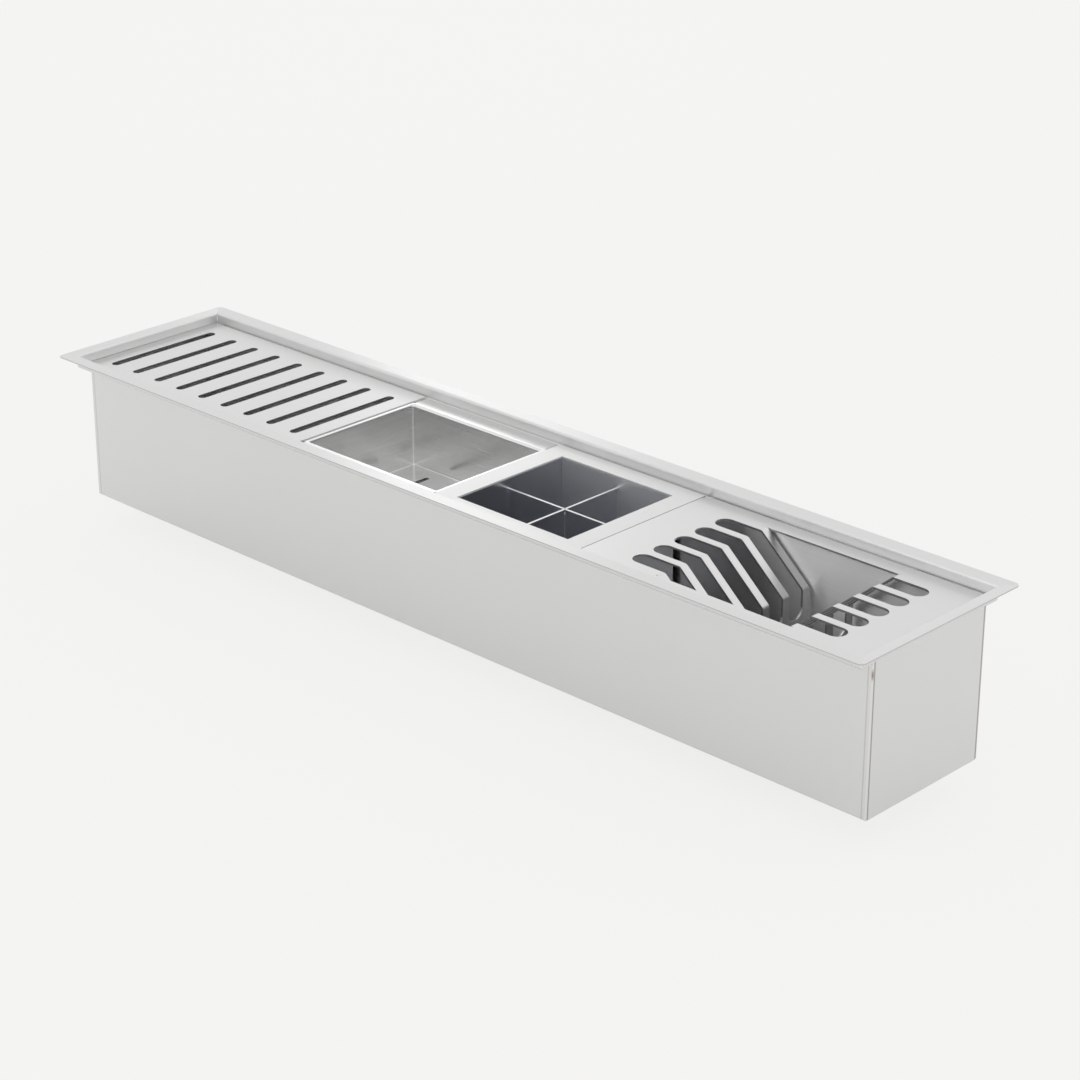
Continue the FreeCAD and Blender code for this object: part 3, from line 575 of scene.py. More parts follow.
def grain_group():
    """Brushed grain: fine lines and broad clouds that run along the stretched axis."""
    tree, inlet, outlet = new_group(
        "Brushed grain", {"Place": "Vector", "Lines": "Vector", "Clouds": "Float"},
        {"Lines": "Float", "Clouds": "Float"})
    stretched = add_node(
        tree, "ShaderNodeVectorMath", {0: inlet.outputs["Place"], 1: inlet.outputs["Lines"]},
        operation="MULTIPLY").outputs[0]
    fine = add_node(
        tree, "ShaderNodeTexNoise", {"Vector": stretched, "Scale": 1.0, "Detail": 4.0, "Roughness": 0.65})
    broad = add_node(
        tree, "ShaderNodeTexNoise", {
            "Vector": inlet.outputs["Place"], "Scale": inlet.outputs["Clouds"], "Detail": 2.0,
            "Roughness": 0.5})
    tree.links.new(fine.outputs[0], outlet.inputs["Lines"])
    tree.links.new(broad.outputs[0], outlet.inputs["Clouds"])
    return tree


def band_group():
    """A soft band: 1 where a distance lies on a line of a given place and width, 0 away from it."""
    tree, inlet, outlet = new_group(
        "Soft band", {"Distance": "Float", "Middle": "Float", "Width": "Float"}, {"Mask": "Float"})
    off = maths(tree, "SUBTRACT", inlet.outputs["Distance"], inlet.outputs["Middle"])
    near = maths(tree, "DIVIDE", maths(tree, "ABSOLUTE", off), inlet.outputs["Width"])
    tree.links.new(ramp(tree, near, 0.2, 1.0, 1.0, 0.0, "SMOOTHSTEP"), outlet.inputs["Mask"])
    return tree


def spot_group():
    """A soft spot: 1 in the middle of a small round place, 0 from its reach on."""
    tree, inlet, outlet = new_group(
        "Soft spot", {"Place": "Vector", "Middle": "Vector", "Reach": "Float"}, {"Mask": "Float"})
    off = add_node(
        tree, "ShaderNodeVectorMath", {0: inlet.outputs["Place"], 1: inlet.outputs["Middle"]},
        operation="DISTANCE")
    near = maths(tree, "DIVIDE", off.outputs["Value"], inlet.outputs["Reach"])
    tree.links.new(ramp(tree, near, 0.0, 1.0, 1.0, 0.0, "SMOOTHSTEP"), outlet.inputs["Mask"])
    return tree


GROUPS = {}


def group(tree, maker, inputs):
    """A shared effect placed in a material with its own values."""
    if maker not in GROUPS:
        GROUPS[maker] = maker()
    return add_node(tree, "ShaderNodeGroup", inputs, node_tree=GROUPS[maker])


def new_look(name):
    """A material with its shader; returns the material, its tree, the shader and the place on the piece."""
    look = bpy.data.materials.new(name)
    look.use_nodes = True
    tree = look.node_tree
    shader = next(node for node in tree.nodes if node.type == "BSDF_PRINCIPLED")
    place = tree.nodes.new("ShaderNodeTexCoord").outputs["Object"]
    return look, tree, shader, place


def tone(tree, factor, first, second):
    """A mix of two colours."""
    first, second = (c if isinstance(c, bpy.types.NodeSocket) else (*c, 1.0) for c in (first, second))
    return add_node(tree, "ShaderNodeMix", {0: factor, 6: first, 7: second}, data_type="RGBA").outputs[2]


def shade(colour_value, factor):
    return tuple(channel * factor for channel in colour_value)


def brushed(name, base, lines, roughness, along=None, tint=None, faces=None, spots=(), contrast=0.015):
    """Brushed sheet whose grain repeats as lines says.

    A sheet brushed along an axis spreads its gloss round that axis. Tint lays heat colours over the paint.
    Faces gives masks of the coarser inner faces, which are also painted lighter as painted light, and the
    smoother outer faces.
    Spots are marks beside welds, heat stains or painted highlights and shades round tack dents: middle,
    reach, colour, strength of the colour and depth of the dent.
    """
    look, tree, shader, place = new_look(name)
    shader.inputs["Metallic"].default_value = 1.0
    if along:
        shader.inputs["Anisotropic"].default_value = 1.0
        across = add_node(tree, "ShaderNodeTangent", direction_type="RADIAL", axis=along)
        tree.links.new(across.outputs[0], shader.inputs["Tangent"])
    grain = group(tree, grain_group, {"Place": place, "Lines": lines, "Clouds": CLOUDS})
    streak = grain.outputs["Lines"]
    cloud = grain.outputs["Clouds"]
    whole = spread(tree, streak, 0.0, 1.0)
    paint = tone(tree, whole, shade(base, 1 - contrast), shade(base, 1 + contrast))
    paint = tone(tree, spread(tree, cloud, 0.0, CLOUD_SHARE), paint, shade(base, CLOUD_TONE))
    rough = maths(
        tree, "ADD", spread(tree, streak, roughness - contrast, roughness + contrast),
        spread(tree, cloud, -CLOUD_GLOSS, CLOUD_GLOSS))
    height = maths(tree, "ADD", maths(tree, "MULTIPLY", streak, LINE_DEPTH), cloud)
    if faces:
        inner, outer = faces(tree, place)
        # painted light: the inner faces are painted lighter than the sheet's own colour
        paint = tone(tree, inner, paint, tone(tree, whole, *(shade(base, factor) for factor in INNER_PAINTED_LIGHT)))
        rough = maths(tree, "ADD", rough, maths(tree, "MULTIPLY", inner, INNER_ROUGHNESS))
        paint = tone(tree, outer, paint, shade(base, OUTER_TONE))
        rough = maths(tree, "SUBTRACT", rough, maths(tree, "MULTIPLY", outer, OUTER_SMOOTHNESS))
    if tint:
        paint = tint(tree, place, paint)
    # spot colours: heat stains, or painted highlight and painted shade round a tack's dent
    for middle, reach, stain, strength, dent in spots:
        mask = group(tree, spot_group, {"Place": place, "Middle": middle, "Reach": reach}).outputs["Mask"]
        paint = tone(tree, maths(tree, "MULTIPLY", mask, strength), paint, stain)
        height = maths(tree, "SUBTRACT", height, maths(tree, "MULTIPLY", mask, dent / WAVE))
    tree.links.new(paint, shader.inputs["Base Color"])
    tree.links.new(rough, shader.inputs["Roughness"])
    bump = add_node(tree, "ShaderNodeBump", {"Strength": 1.0, "Distance": WAVE, "Height": height})
    tree.links.new(bump.outputs[0], shader.inputs["Normal"])
    return look


def weld_band(axis, distance, width, stain, strength):
    """Heat tint below the ledge, in a band at a distance from the trough's middle along an axis."""
    def tint(tree, place, paint):
        parts = add_node(tree, "ShaderNodeSeparateXYZ", {0: place})
        away = maths(tree, "ABSOLUTE", parts.outputs[axis])
        below = maths(tree, "LESS_THAN", parts.outputs["Z"], LEDGE_TOP)
        band = group(tree, band_group, {"Distance": away, "Middle": distance, "Width": width})
        mask = maths(tree, "MULTIPLY", maths(tree, "MULTIPLY", band.outputs["Mask"], strength), below)
        return tone(tree, mask, paint, stain)
    return tint


def sheet_faces(axis, reach):
    """Masks of the inner and outer faces below the ledge: nearer and farther than a reach along an axis. The
    inner mask also lays on painted light.
    """
    def masks(tree, place):
        parts = add_node(tree, "ShaderNodeSeparateXYZ", {0: place})
        below = maths(tree, "LESS_THAN", parts.outputs["Z"], LEDGE_TOP)
        near = maths(tree, "LESS_THAN", maths(tree, "ABSOLUTE", parts.outputs[axis]), reach)
        above = maths(tree, "GREATER_THAN", parts.outputs["Z"], FLOOR_UNDER + UNDERSIDE)
        inner = maths(tree, "MULTIPLY", below, maths(tree, "MULTIPLY", near, above))
        return inner, maths(tree, "SUBTRACT", below, inner)
    return masks


def bin_corners(sizes):
    """The four lower corners of the bin, where its sheet is welded and ground."""
    low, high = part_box("bin_tub")
    return [
        (x, y, low.z + sizes.bin_sheet) for x in (low.x + sizes.bin_lip, high.x - sizes.bin_lip)
        for y in (-sizes.bin_half, sizes.bin_half)]


def divider_ends(node):
    """The two upper ends of a divider, where it is tacked to the box."""
    low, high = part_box(node)
    middle = (low + high) / 2
    top = high.z - TACK
    if high.x - low.x > high.y - low.y:
        return [(low.x, middle.y, top), (high.x, middle.y, top)]
    return [(middle.x, low.y, top), (middle.x, high.y, top)]


def tack_dents_and_painted_light(node, stain, strength):
    """Dents round the tack welds of a divider, tinted as painted highlight or painted shade round each, as
    spots of a brushed sheet.
    """
    return [(end, TACK_REACH, stain, strength, TACK_DENT) for end in divider_ends(node)]


def moulded(name, base, roughness, speckle):
    """Rubber or plastic: a fine pebbled surface with a slight mottle."""
    look, tree, shader, place = new_look(name)
    pebble = add_node(tree, "ShaderNodeTexNoise", {"Vector": place, "Scale": speckle, "Detail": 3.0})
    mottle = add_node(tree, "ShaderNodeTexNoise", {"Vector": place, "Scale": MOTTLES, "Detail": 2.0})
    dark, light = (shade(base, factor) for factor in MOTTLE_TONES)
    paint = tone(tree, spread(tree, mottle.outputs[0], 0.0, 1.0), dark, light)
    tree.links.new(paint, shader.inputs["Base Color"])
    rough = spread(tree, pebble.outputs[0], roughness - PEBBLE_GLOSS, roughness + PEBBLE_GLOSS)
    tree.links.new(rough, shader.inputs["Roughness"])
    bump = add_node(
        tree, "ShaderNodeBump", {"Strength": 0.5, "Distance": PEBBLE, "Height": pebble.outputs[0]})
    tree.links.new(bump.outputs[0], shader.inputs["Normal"])
    return look


def make_look(name):
    """The finish of that name, made once."""
    label = f"{name}_finish"
    if label in bpy.data.materials:
        return bpy.data.materials[label]
    finishes = bpy.context.scene.trough_finishes
    sizes = bpy.context.scene.trough_sizes
    straw = weld_band("X", END_INSIDE - STRAW_INSET, STRAW_WIDTH, finishes.straw, strength=0.5)
    brown = weld_band("Y", sizes.wall - BROWN_INSET, BROWN_WIDTH, finishes.brown, strength=0.7)
    spot = (END_INSIDE, -sizes.wall, LEDGE_TOP - SPOT_DROP)
    corners = [(corner, CORNER_REACH, finishes.bin_steel, 0.0, CORNER_DENT) for corner in bin_corners(sizes)]
    # painted highlight: the sides and dividers are tinted lighter round the long divider's tacks
    side_tack_dents_and_highlights = tack_dents_and_painted_light("divider_long", finishes.box_steel, strength=0.3)
    makers = {
        "channel_steel": lambda: brushed(
            label, finishes.steel, LENGTHWISE, 0.30, along="X", tint=straw,
            faces=sheet_faces("Y", sizes.wall + sizes.sheet / 2)),
        "end_steel": lambda: brushed(
            label, finishes.steel, CROSSWISE, 0.30, along="Y", tint=brown,
            faces=sheet_faces("X", END_INSIDE + sizes.sheet / 2)),
        "bead_steel": lambda: brushed(
            label, finishes.steel, UPRIGHT, 0.24, spots=[(spot, SPOT_REACH, finishes.brown, 0.9, 0.0)]),
        # painted shade: the flange's rim is painted darker, as a shade line under the flange's edge
        "rim_steel": lambda: brushed(label, shade(finishes.steel, RIM_PAINTED_SHADE), LENGTHWISE, 0.4),
        "plate_steel": lambda: brushed(label, finishes.insert_steel, LENGTHWISE, 0.36, along="X"),
        # painted shade: the rack, its rails and the dividers' tops take a darker copy of the insert steel
        "rack_steel": lambda: brushed(label, shade(finishes.insert_steel, RACK_PAINTED_SHADE), LENGTHWISE, 0.32),
        # painted shade: cut faces painted dark for the shade in slots and gaps
        "cut_steel": lambda: brushed(label, finishes.cut_steel, UPRIGHT, 0.45),
        "edge_steel": lambda: brushed(label, finishes.insert_steel, LENGTHWISE, 0.6),
        "bin_steel": lambda: brushed(label, finishes.bin_steel, AROUND, 0.23, spots=corners, contrast=0.04),
        # painted light: the box's sheet is painted far lighter; round the cross divider's tacks it is tinted
        # darker, a painted shade
        "box_steel": lambda: brushed(
            label, finishes.box_steel, LENGTHWISE, 0.43,
            spots=tack_dents_and_painted_light("divider_cross", finishes.side_steel, strength=0.5)),
        "side_steel": lambda: brushed(label, finishes.side_steel, CROSSWISE, 0.23, spots=side_tack_dents_and_highlights),
        # painted light: the dividers take a lighter copy of the sides' steel
        "divider_steel": lambda: brushed(
            label, shade(finishes.side_steel, DIVIDER_PAINTED_LIGHT), CROSSWISE, 0.23, spots=side_tack_dents_and_highlights),
        "waste_chrome": lambda: brushed(label, finishes.chrome, POLISHED, 0.12),
        "seal_rubber": lambda: moulded(label, finishes.rubber, 0.7, 2500.0),
        "nut_plastic": lambda: moulded(label, finishes.nut, 0.45, 1800.0),
    }
    return makers[name]()


# Pieces


def side_name(sign):
    return "right" if sign > 0 else "left"


def end_outline(name, x, size):
    """The trough's inner section as a flat sheet at an end, rounded as the bends are, left in edit mode."""
    recess = WELD_EDGE - size.sheet
    floor = FLOOR_UNDER + size.sheet

    def is_upper_edge(edge, side):
        lowest = min(corner.co.z for corner in edge.verts)
        return lies_at(y=side * size.wall)(edge) and lowest > floor + TOUCH

    piece = add_sheet(name, (x, -size.wall, floor), (x, size.wall, LEDGE_TOP))
    edit(piece)
    pick("EDGE", lies_at(z=LEDGE_TOP))
    fold(0, 0, FLANGE_TOP - LEDGE_TOP)
    for side in (-1, 1):
        pick("EDGE", lambda edge: is_upper_edge(edge, side))
        fold(0, side * (recess - size.wall), 0)
    bpy.ops.mesh.select_all(action="SELECT")
    bpy.ops.mesh.dissolve_limited(angle_limit=math.radians(1))
    pick("VERT", lies_at(out=size.wall, z=LEDGE_TOP))
    round_corners(size.bend + size.sheet)
    inside_corners = (lies_at(out=size.wall, z=floor), lies_at(out=recess, z=LEDGE_TOP))
    pick("VERT", lambda corner: any(test(corner) for test in inside_corners))
    round_corners(size.bend)
    return piece


def is_flange_rim(face):
    return abs(face.normal.z) < FACING and face.calc_center_median().z > WORKTOP


def trim_flange_corner(size, end, side):
    """Rounds a corner of the flange by planes that touch its rounding, the same for both sheets there."""
    radius = size.flange_corner
    centre = Vector((end * (FLANGE_END - radius), side * (FLANGE_EDGE - radius), 0))
    for step in range(FLANGE_STEPS):
        turn = math.pi / 2 * (step + 0.5) / FLANGE_STEPS
        outward = Vector((end * math.cos(turn), side * math.sin(turn), 0))
        pick("FACE", lies_at(z=FLANGE_TOP))
        trim(centre + outward * radius, outward)


class TROUGH_OT_channel(Operator):
    """Folds the long sheet: floor, walls, ledges, recess walls and long flanges"""

    bl_idname = "trough.channel"
    bl_label = "Channel"

    def execute(self, context):
        size = context.scene.trough_sizes
        recess = WELD_EDGE - size.sheet
        floor = FLOOR_UNDER + size.sheet
        lip = FLANGE_EDGE - recess
        piece = add_sheet("channel", (-END_INSIDE, -size.wall, floor), (END_INSIDE, size.wall, floor))
        edit(piece)
        for side in (-1, 1):
            pick("EDGE", lies_at(y=side * size.wall))
            fold(0, 0, LEDGE_TOP - floor)
            fold(0, side * (recess - size.wall), 0)
            fold(0, 0, FLANGE_TOP - LEDGE_TOP)
            fold(0, side * lip, 0)
        for end in (-1, 1):
            pick("VERT", lies_at(x=end * END_INSIDE, out=FLANGE_EDGE))
            bpy.ops.transform.translate(value=(end * lip, 0, 0))
            for side in (-1, 1):
                trim_flange_corner(size, end, side)
        outer = size.bend + size.sheet
        folds = ((size.wall, floor, size.bend), (size.wall, LEDGE_TOP, outer),
                 (recess, LEDGE_TOP, size.bend), (recess, FLANGE_TOP, outer))
        for out, height, radius in folds:
            pick("EDGE", lies_at(out=out, z=height))
            bend(radius)
        thicken(piece, size.sheet, (0, 0, 1), lies_at(z=floor))
        middle = middle_of("drain_body")
        drill(piece, (middle.x, middle.y, floor), size.drain_hole, 10 * size.sheet)
        # the flange's rim takes the darker rim steel, a painted shade line
        finish(
            piece, "channel_steel", "trough", "trough_steel", "trough_channel",
            cuts=[(is_flange_rim, "rim_steel")])
        return {"FINISHED"}


class TROUGH_OT_end_panels(Operator):
    """Makes the two end sheets, each with its own outward lip"""

    bl_idname = "trough.end_panels"
    bl_label = "End panels"

    def execute(self, context):
        size = context.scene.trough_sizes
        for end in (-1, 1):
            self.make_panel(size, end)
        return {"FINISHED"}

    def make_panel(self, size, end):
        recess = WELD_EDGE - size.sheet
        lip = FLANGE_END - END_INSIDE
        piece = end_outline(f"{side_name(end)}_end_sheet", end * END_INSIDE, size)
        pick("EDGE", lies_at(z=FLANGE_TOP))
        fold(end * lip, 0, 0)
        for side in (-1, 1):
            pick("VERT", lies_at(x=end * FLANGE_END, y=side * recess))
            bpy.ops.transform.translate(value=(0, side * lip, 0))
        for side in (-1, 1):
            trim_flange_corner(size, end, side)
        pick("EDGE", lies_at(x=end * END_INSIDE, z=FLANGE_TOP))
        bend(size.bend + size.sheet)
        thicken(piece, size.sheet, (-end, 0, 0), lies_at(x=end * END_INSIDE))
        # the flange's rim takes the darker rim steel, a painted shade line
        finish(
            piece, "end_steel", "trough", "trough_steel", f"{side_name(end)}_end_panel",
            cuts=[(is_flange_rim, "rim_steel")])


class TROUGH_OT_end_welds(Operator):
    """Runs a ground bead round the open corner between the channel and each end panel"""

    bl_idname = "trough.end_welds"
    bl_label = "End welds"

    def execute(self, context):
        size = context.scene.trough_sizes
        for end in (-1, 1):
            name = f"{side_name(end)}_end_bead"
            piece = end_outline(name, end * END_INSIDE, size)
            pick("EDGE", lies_at(z=FLANGE_TOP))
            bpy.ops.transform.translate(value=(0, 0, WELD_TOP - FLANGE_TOP))
            bpy.ops.mesh.select_all(action="SELECT")
            bpy.ops.mesh.delete(type="ONLY_FACE")
            pick("EDGE", lies_at(z=WELD_TOP))
            bpy.ops.mesh.delete(type="EDGE")
            hold(piece)
            bpy.ops.object.convert(target="CURVE")
            bead = bpy.context.object
            bead.data.bevel_depth = size.sheet
            bead.data.bevel_resolution = 4
            bead.data.use_fill_caps = True
            bpy.ops.object.convert(target="MESH")
            bead = bpy.context.object
            bead.name = name
            edit(bead)
            bpy.ops.mesh.select_all(action="SELECT")
            bpy.ops.mesh.remove_doubles(threshold=TOUCH)
            finish(bead, "bead_steel", "trough", "weld_steel", f"{side_name(end)}_end_weld")
        return {"FINISHED"}


class TROUGH_OT_grate(Operator):
    """Cuts the flat grate plate with its row of long slots"""

    bl_idname = "trough.grate"
    bl_label = "Grate"

    def execute(self, context):
        size = context.scene.trough_sizes
        low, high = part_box("grate_plate")
        piece = add_sheet("grate", (low.x, low.y, high.z), high)
        edit(piece)
        pick("VERT", lies_at(x=low.x))
        round_corners(size.plate_corner)
        thicken(piece, size.plate, (0, 0, 1), lies_at(z=high.z))
        first = (low.x + high.x) / 2 - size.grate_pitch * (size.grate_count - 1) / 2
        cut_slots_across(
            piece, first, size.grate_slot, size.grate_reach, low.z - size.plate, high.z + size.plate,
            size.grate_count, size.grate_pitch)
        ease_edges(piece, size.ease)

        def is_slot_face(face):
            inside = low.x + size.plate < face.calc_center_median().x < high.x - size.plate
            return inside and is_cut_face(size.grate_reach)(face)

        # the slots' cut faces are painted dark, a painted shade inside the slots
        finish(
            piece, "plate_steel", "grate", "plate_steel", "grate_plate",
            cuts=[(is_slot_face, "cut_steel")])
        return {"FINISHED"}


class TROUGH_OT_bin(Operator):
    """Folds the bin: a tub with a lip all round, welded corners and drain slots"""

    bl_idname = "trough.bin"
    bl_label = "Bin"

    def execute(self, context):
        size = context.scene.trough_sizes
        low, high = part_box("bin_tub")
        floor = low.z + size.bin_sheet
        left = low.x + size.bin_lip
        right = high.x - size.bin_lip
        middle = Vector(((low.x + high.x) / 2, 0, high.z))

        def is_mouth_edge(edge):
            along = all(left - TOUCH < corner.co.x < right + TOUCH for corner in edge.verts)
            across = all(abs(corner.co.y) < size.bin_half + TOUCH for corner in edge.verts)
            return along and across and lies_at(z=high.z)(edge)

        def is_lip_edge(face):
            return abs(face.normal.z) < FACING and abs(face.calc_center_median().y) > high.y - TOUCH

        piece = add_block("bin", (left, -size.bin_half, floor), (right, size.bin_half, high.z))
        edit(piece)
        pick("FACE", lies_at(z=high.z))
        bpy.ops.mesh.delete(type="ONLY_FACE")
        pick("EDGE", lambda edge: abs(edge.verts[0].co.z - edge.verts[1].co.z) > TOUCH)
        bend(size.bin_corner)
        pick("EDGE", lies_at(z=high.z))
        fold(0, 0, 0)
        grow = ((high.x - low.x) / (right - left), (high.y - low.y) / (2 * size.bin_half), 1)
        bpy.ops.transform.resize(value=grow, center_override=middle)
        pick("EDGE", lies_at(z=floor))
        bend(size.bin_bend)
        pick("EDGE", is_mouth_edge)
        bend(size.bin_bend + size.bin_sheet)
        thicken(piece, size.bin_sheet, (0, 0, 1), lies_at(z=floor))
        clear = 5 * size.bin_sheet
        start = size.bin_half + 2 * size.bin_corner
        for x in (low.x, high.x):
            for y in (-high.y - clear, start):
                corner = Vector((x - size.bin_notch, y, high.z - clear))
                far = Vector((x + size.bin_notch, y + high.y - start + clear, high.z + clear))
                cut(piece, add_block("cutter", corner, far))
        first = middle.x - size.bin_pitch * (size.bin_count - 1) / 2
        cut_slots_across(
            piece, first, size.bin_slot, size.bin_reach, low.z - size.plate, floor + size.plate,
            size.bin_count, size.bin_pitch)
        # the lip's outer edges are painted dark, a painted shade line round the lip
        finish(piece, "bin_steel", "bin", "bin_steel", "bin_tub", cuts=[(is_lip_edge, "cut_steel")])
        return {"FINISHED"}


class TROUGH_OT_cutlery_holder(Operator):
    """Makes the cutlery holder: plate, folded box, side sheets and crossed dividers"""

    bl_idname = "trough.cutlery_holder"
    bl_label = "Cutlery holder"

    def execute(self, context):
        size = context.scene.trough_sizes
        self.make_plate(size)
        self.make_shell(size)
        for end in (-1, 1):
            self.make_wall(size, end)
        self.make_dividers(size)
        return {"FINISHED"}

    def make_plate(self, size):
        low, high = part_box("cutlery_plate")
        wall_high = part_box("cutlery_left_wall")[1]
        mouth_low = wall_high.x
        mouth_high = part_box("cutlery_right_wall")[0].x

        def is_right_edge(face):
            return face.normal.x > FACING and face.calc_center_median().x > high.x - size.plate

        piece = add_sheet("cutlery_top", (low.x, low.y, high.z), high)
        edit(piece)
        bpy.ops.mesh.select_all(action="SELECT")
        border = high.y - wall_high.y
        bpy.ops.mesh.inset(thickness=border)
        squeeze = (mouth_high - mouth_low) / (high.x - low.x - 2 * border)
        middle = ((low.x + high.x) / 2, 0, high.z)
        bpy.ops.transform.resize(value=(squeeze, 1, 1), center_override=middle)
        bpy.ops.mesh.delete(type="FACE")
        thicken(piece, size.plate, (0, 0, 1), lies_at(z=high.z))
        ease_edges(piece, size.ease)
        # the right edge is painted dark, a painted shade line in the gap to the rack
        finish(
            piece, "plate_steel", "cutlery_holder", "plate_steel", "cutlery_plate",
            cuts=[(is_cut_face((high.y + wall_high.y) / 2), "edge_steel"), (is_right_edge, "cut_steel")])

    def make_shell(self, size):
        low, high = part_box("cutlery_shell")
        floor = low.z + size.box_sheet
        half = high.y - size.box_sheet
        piece = add_sheet("cutlery_box", (low.x, -half, floor), (high.x, half, floor))
        edit(piece)
        for side in (-1, 1):
            pick("EDGE", lies_at(y=side * half))
            fold(0, 0, high.z - floor)
        pick("EDGE", lies_at(out=half, z=floor))
        bend(size.box_bend)
        thicken(piece, size.box_sheet, (0, 0, 1), lies_at(z=floor))
        middle = (low.x + high.x) / 2
        reach = half / 2
        for along in (-reach, reach):
            for across in (-reach, reach):
                place = (middle + along, across, floor)
                drill(piece, place, size.box_drain, 10 * size.box_sheet, ROUND_STEPS // 2)
        # the box's sheet is painted far lighter, painted light inside the box
        finish(piece, "box_steel", "cutlery_holder", "box_steel", "cutlery_shell")

    def make_wall(self, size, end):
        node = f"cutlery_{side_name(end)}_wall"
        low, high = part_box(node)
        inside = low.x if end > 0 else high.x
        name = f"cutlery_{side_name(end)}_side"
        piece = add_sheet(name, (inside, low.y, low.z), (inside, high.y, high.z))
        edit(piece)
        pick("VERT", lies_at(z=low.z))
        round_corners(size.box_bend)
        thicken(piece, size.box_sheet, (-end, 0, 0), lies_at(x=inside))
        finish(piece, "side_steel", "cutlery_holder", "box_steel", node)

    def make_dividers(self, size):
        lap = (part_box("divider_long")[0].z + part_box("divider_long")[1].z) / 2
        for node, along in (("divider_long", "x"), ("divider_cross", "y")):
            low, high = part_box(node)
            middle = (low + high) / 2
            piece = add_block(f"{node}_sheet", low, high)
            half = (high.y - low.y if along == "x" else high.x - low.x) / 2 + size.lap_play
            self.hem(piece, middle, high.z, along, size.hem)
            notch_low = middle - Vector((half, half, 0))
            notch_high = middle + Vector((half, half, 0))
            notch_low.z = lap if along == "x" else low.z - half
            notch_high.z = high.z + half if along == "x" else lap
            cut(piece, add_block("cutter", notch_low, notch_high))
            ease_edges(piece, size.ease)
            for end in divider_ends(node):
                add_tack(piece, end)
            if along == "y":
                add_tack(piece, middle + Vector((half, -half, 0)), (high.z - low.z) / 2 - size.hem)
            # the dividers take the lighter divider steel, painted light in the cells; their tops take the
            # rack's steel
            finish(
                piece, "divider_steel", "cutlery_holder", "box_steel", node,
                cuts=[(lambda face: face.normal.z > FACING, "rack_steel")])

    def hem(self, piece, middle, top, along, height):
        """Thickens the upper edge of a divider."""
        edit(piece)
        pick("FACE", lies_at(z=top))
        bpy.ops.transform.translate(value=(0, 0, -height))
        bpy.ops.mesh.extrude_region_move()
        widen = (1, HEM, 1) if along == "x" else (HEM, 1, 1)
        bpy.ops.transform.resize(value=widen, center_override=middle)
        bpy.ops.mesh.extrude_region_move(TRANSFORM_OT_translate={"value": (0, 0, height)})
        rest()


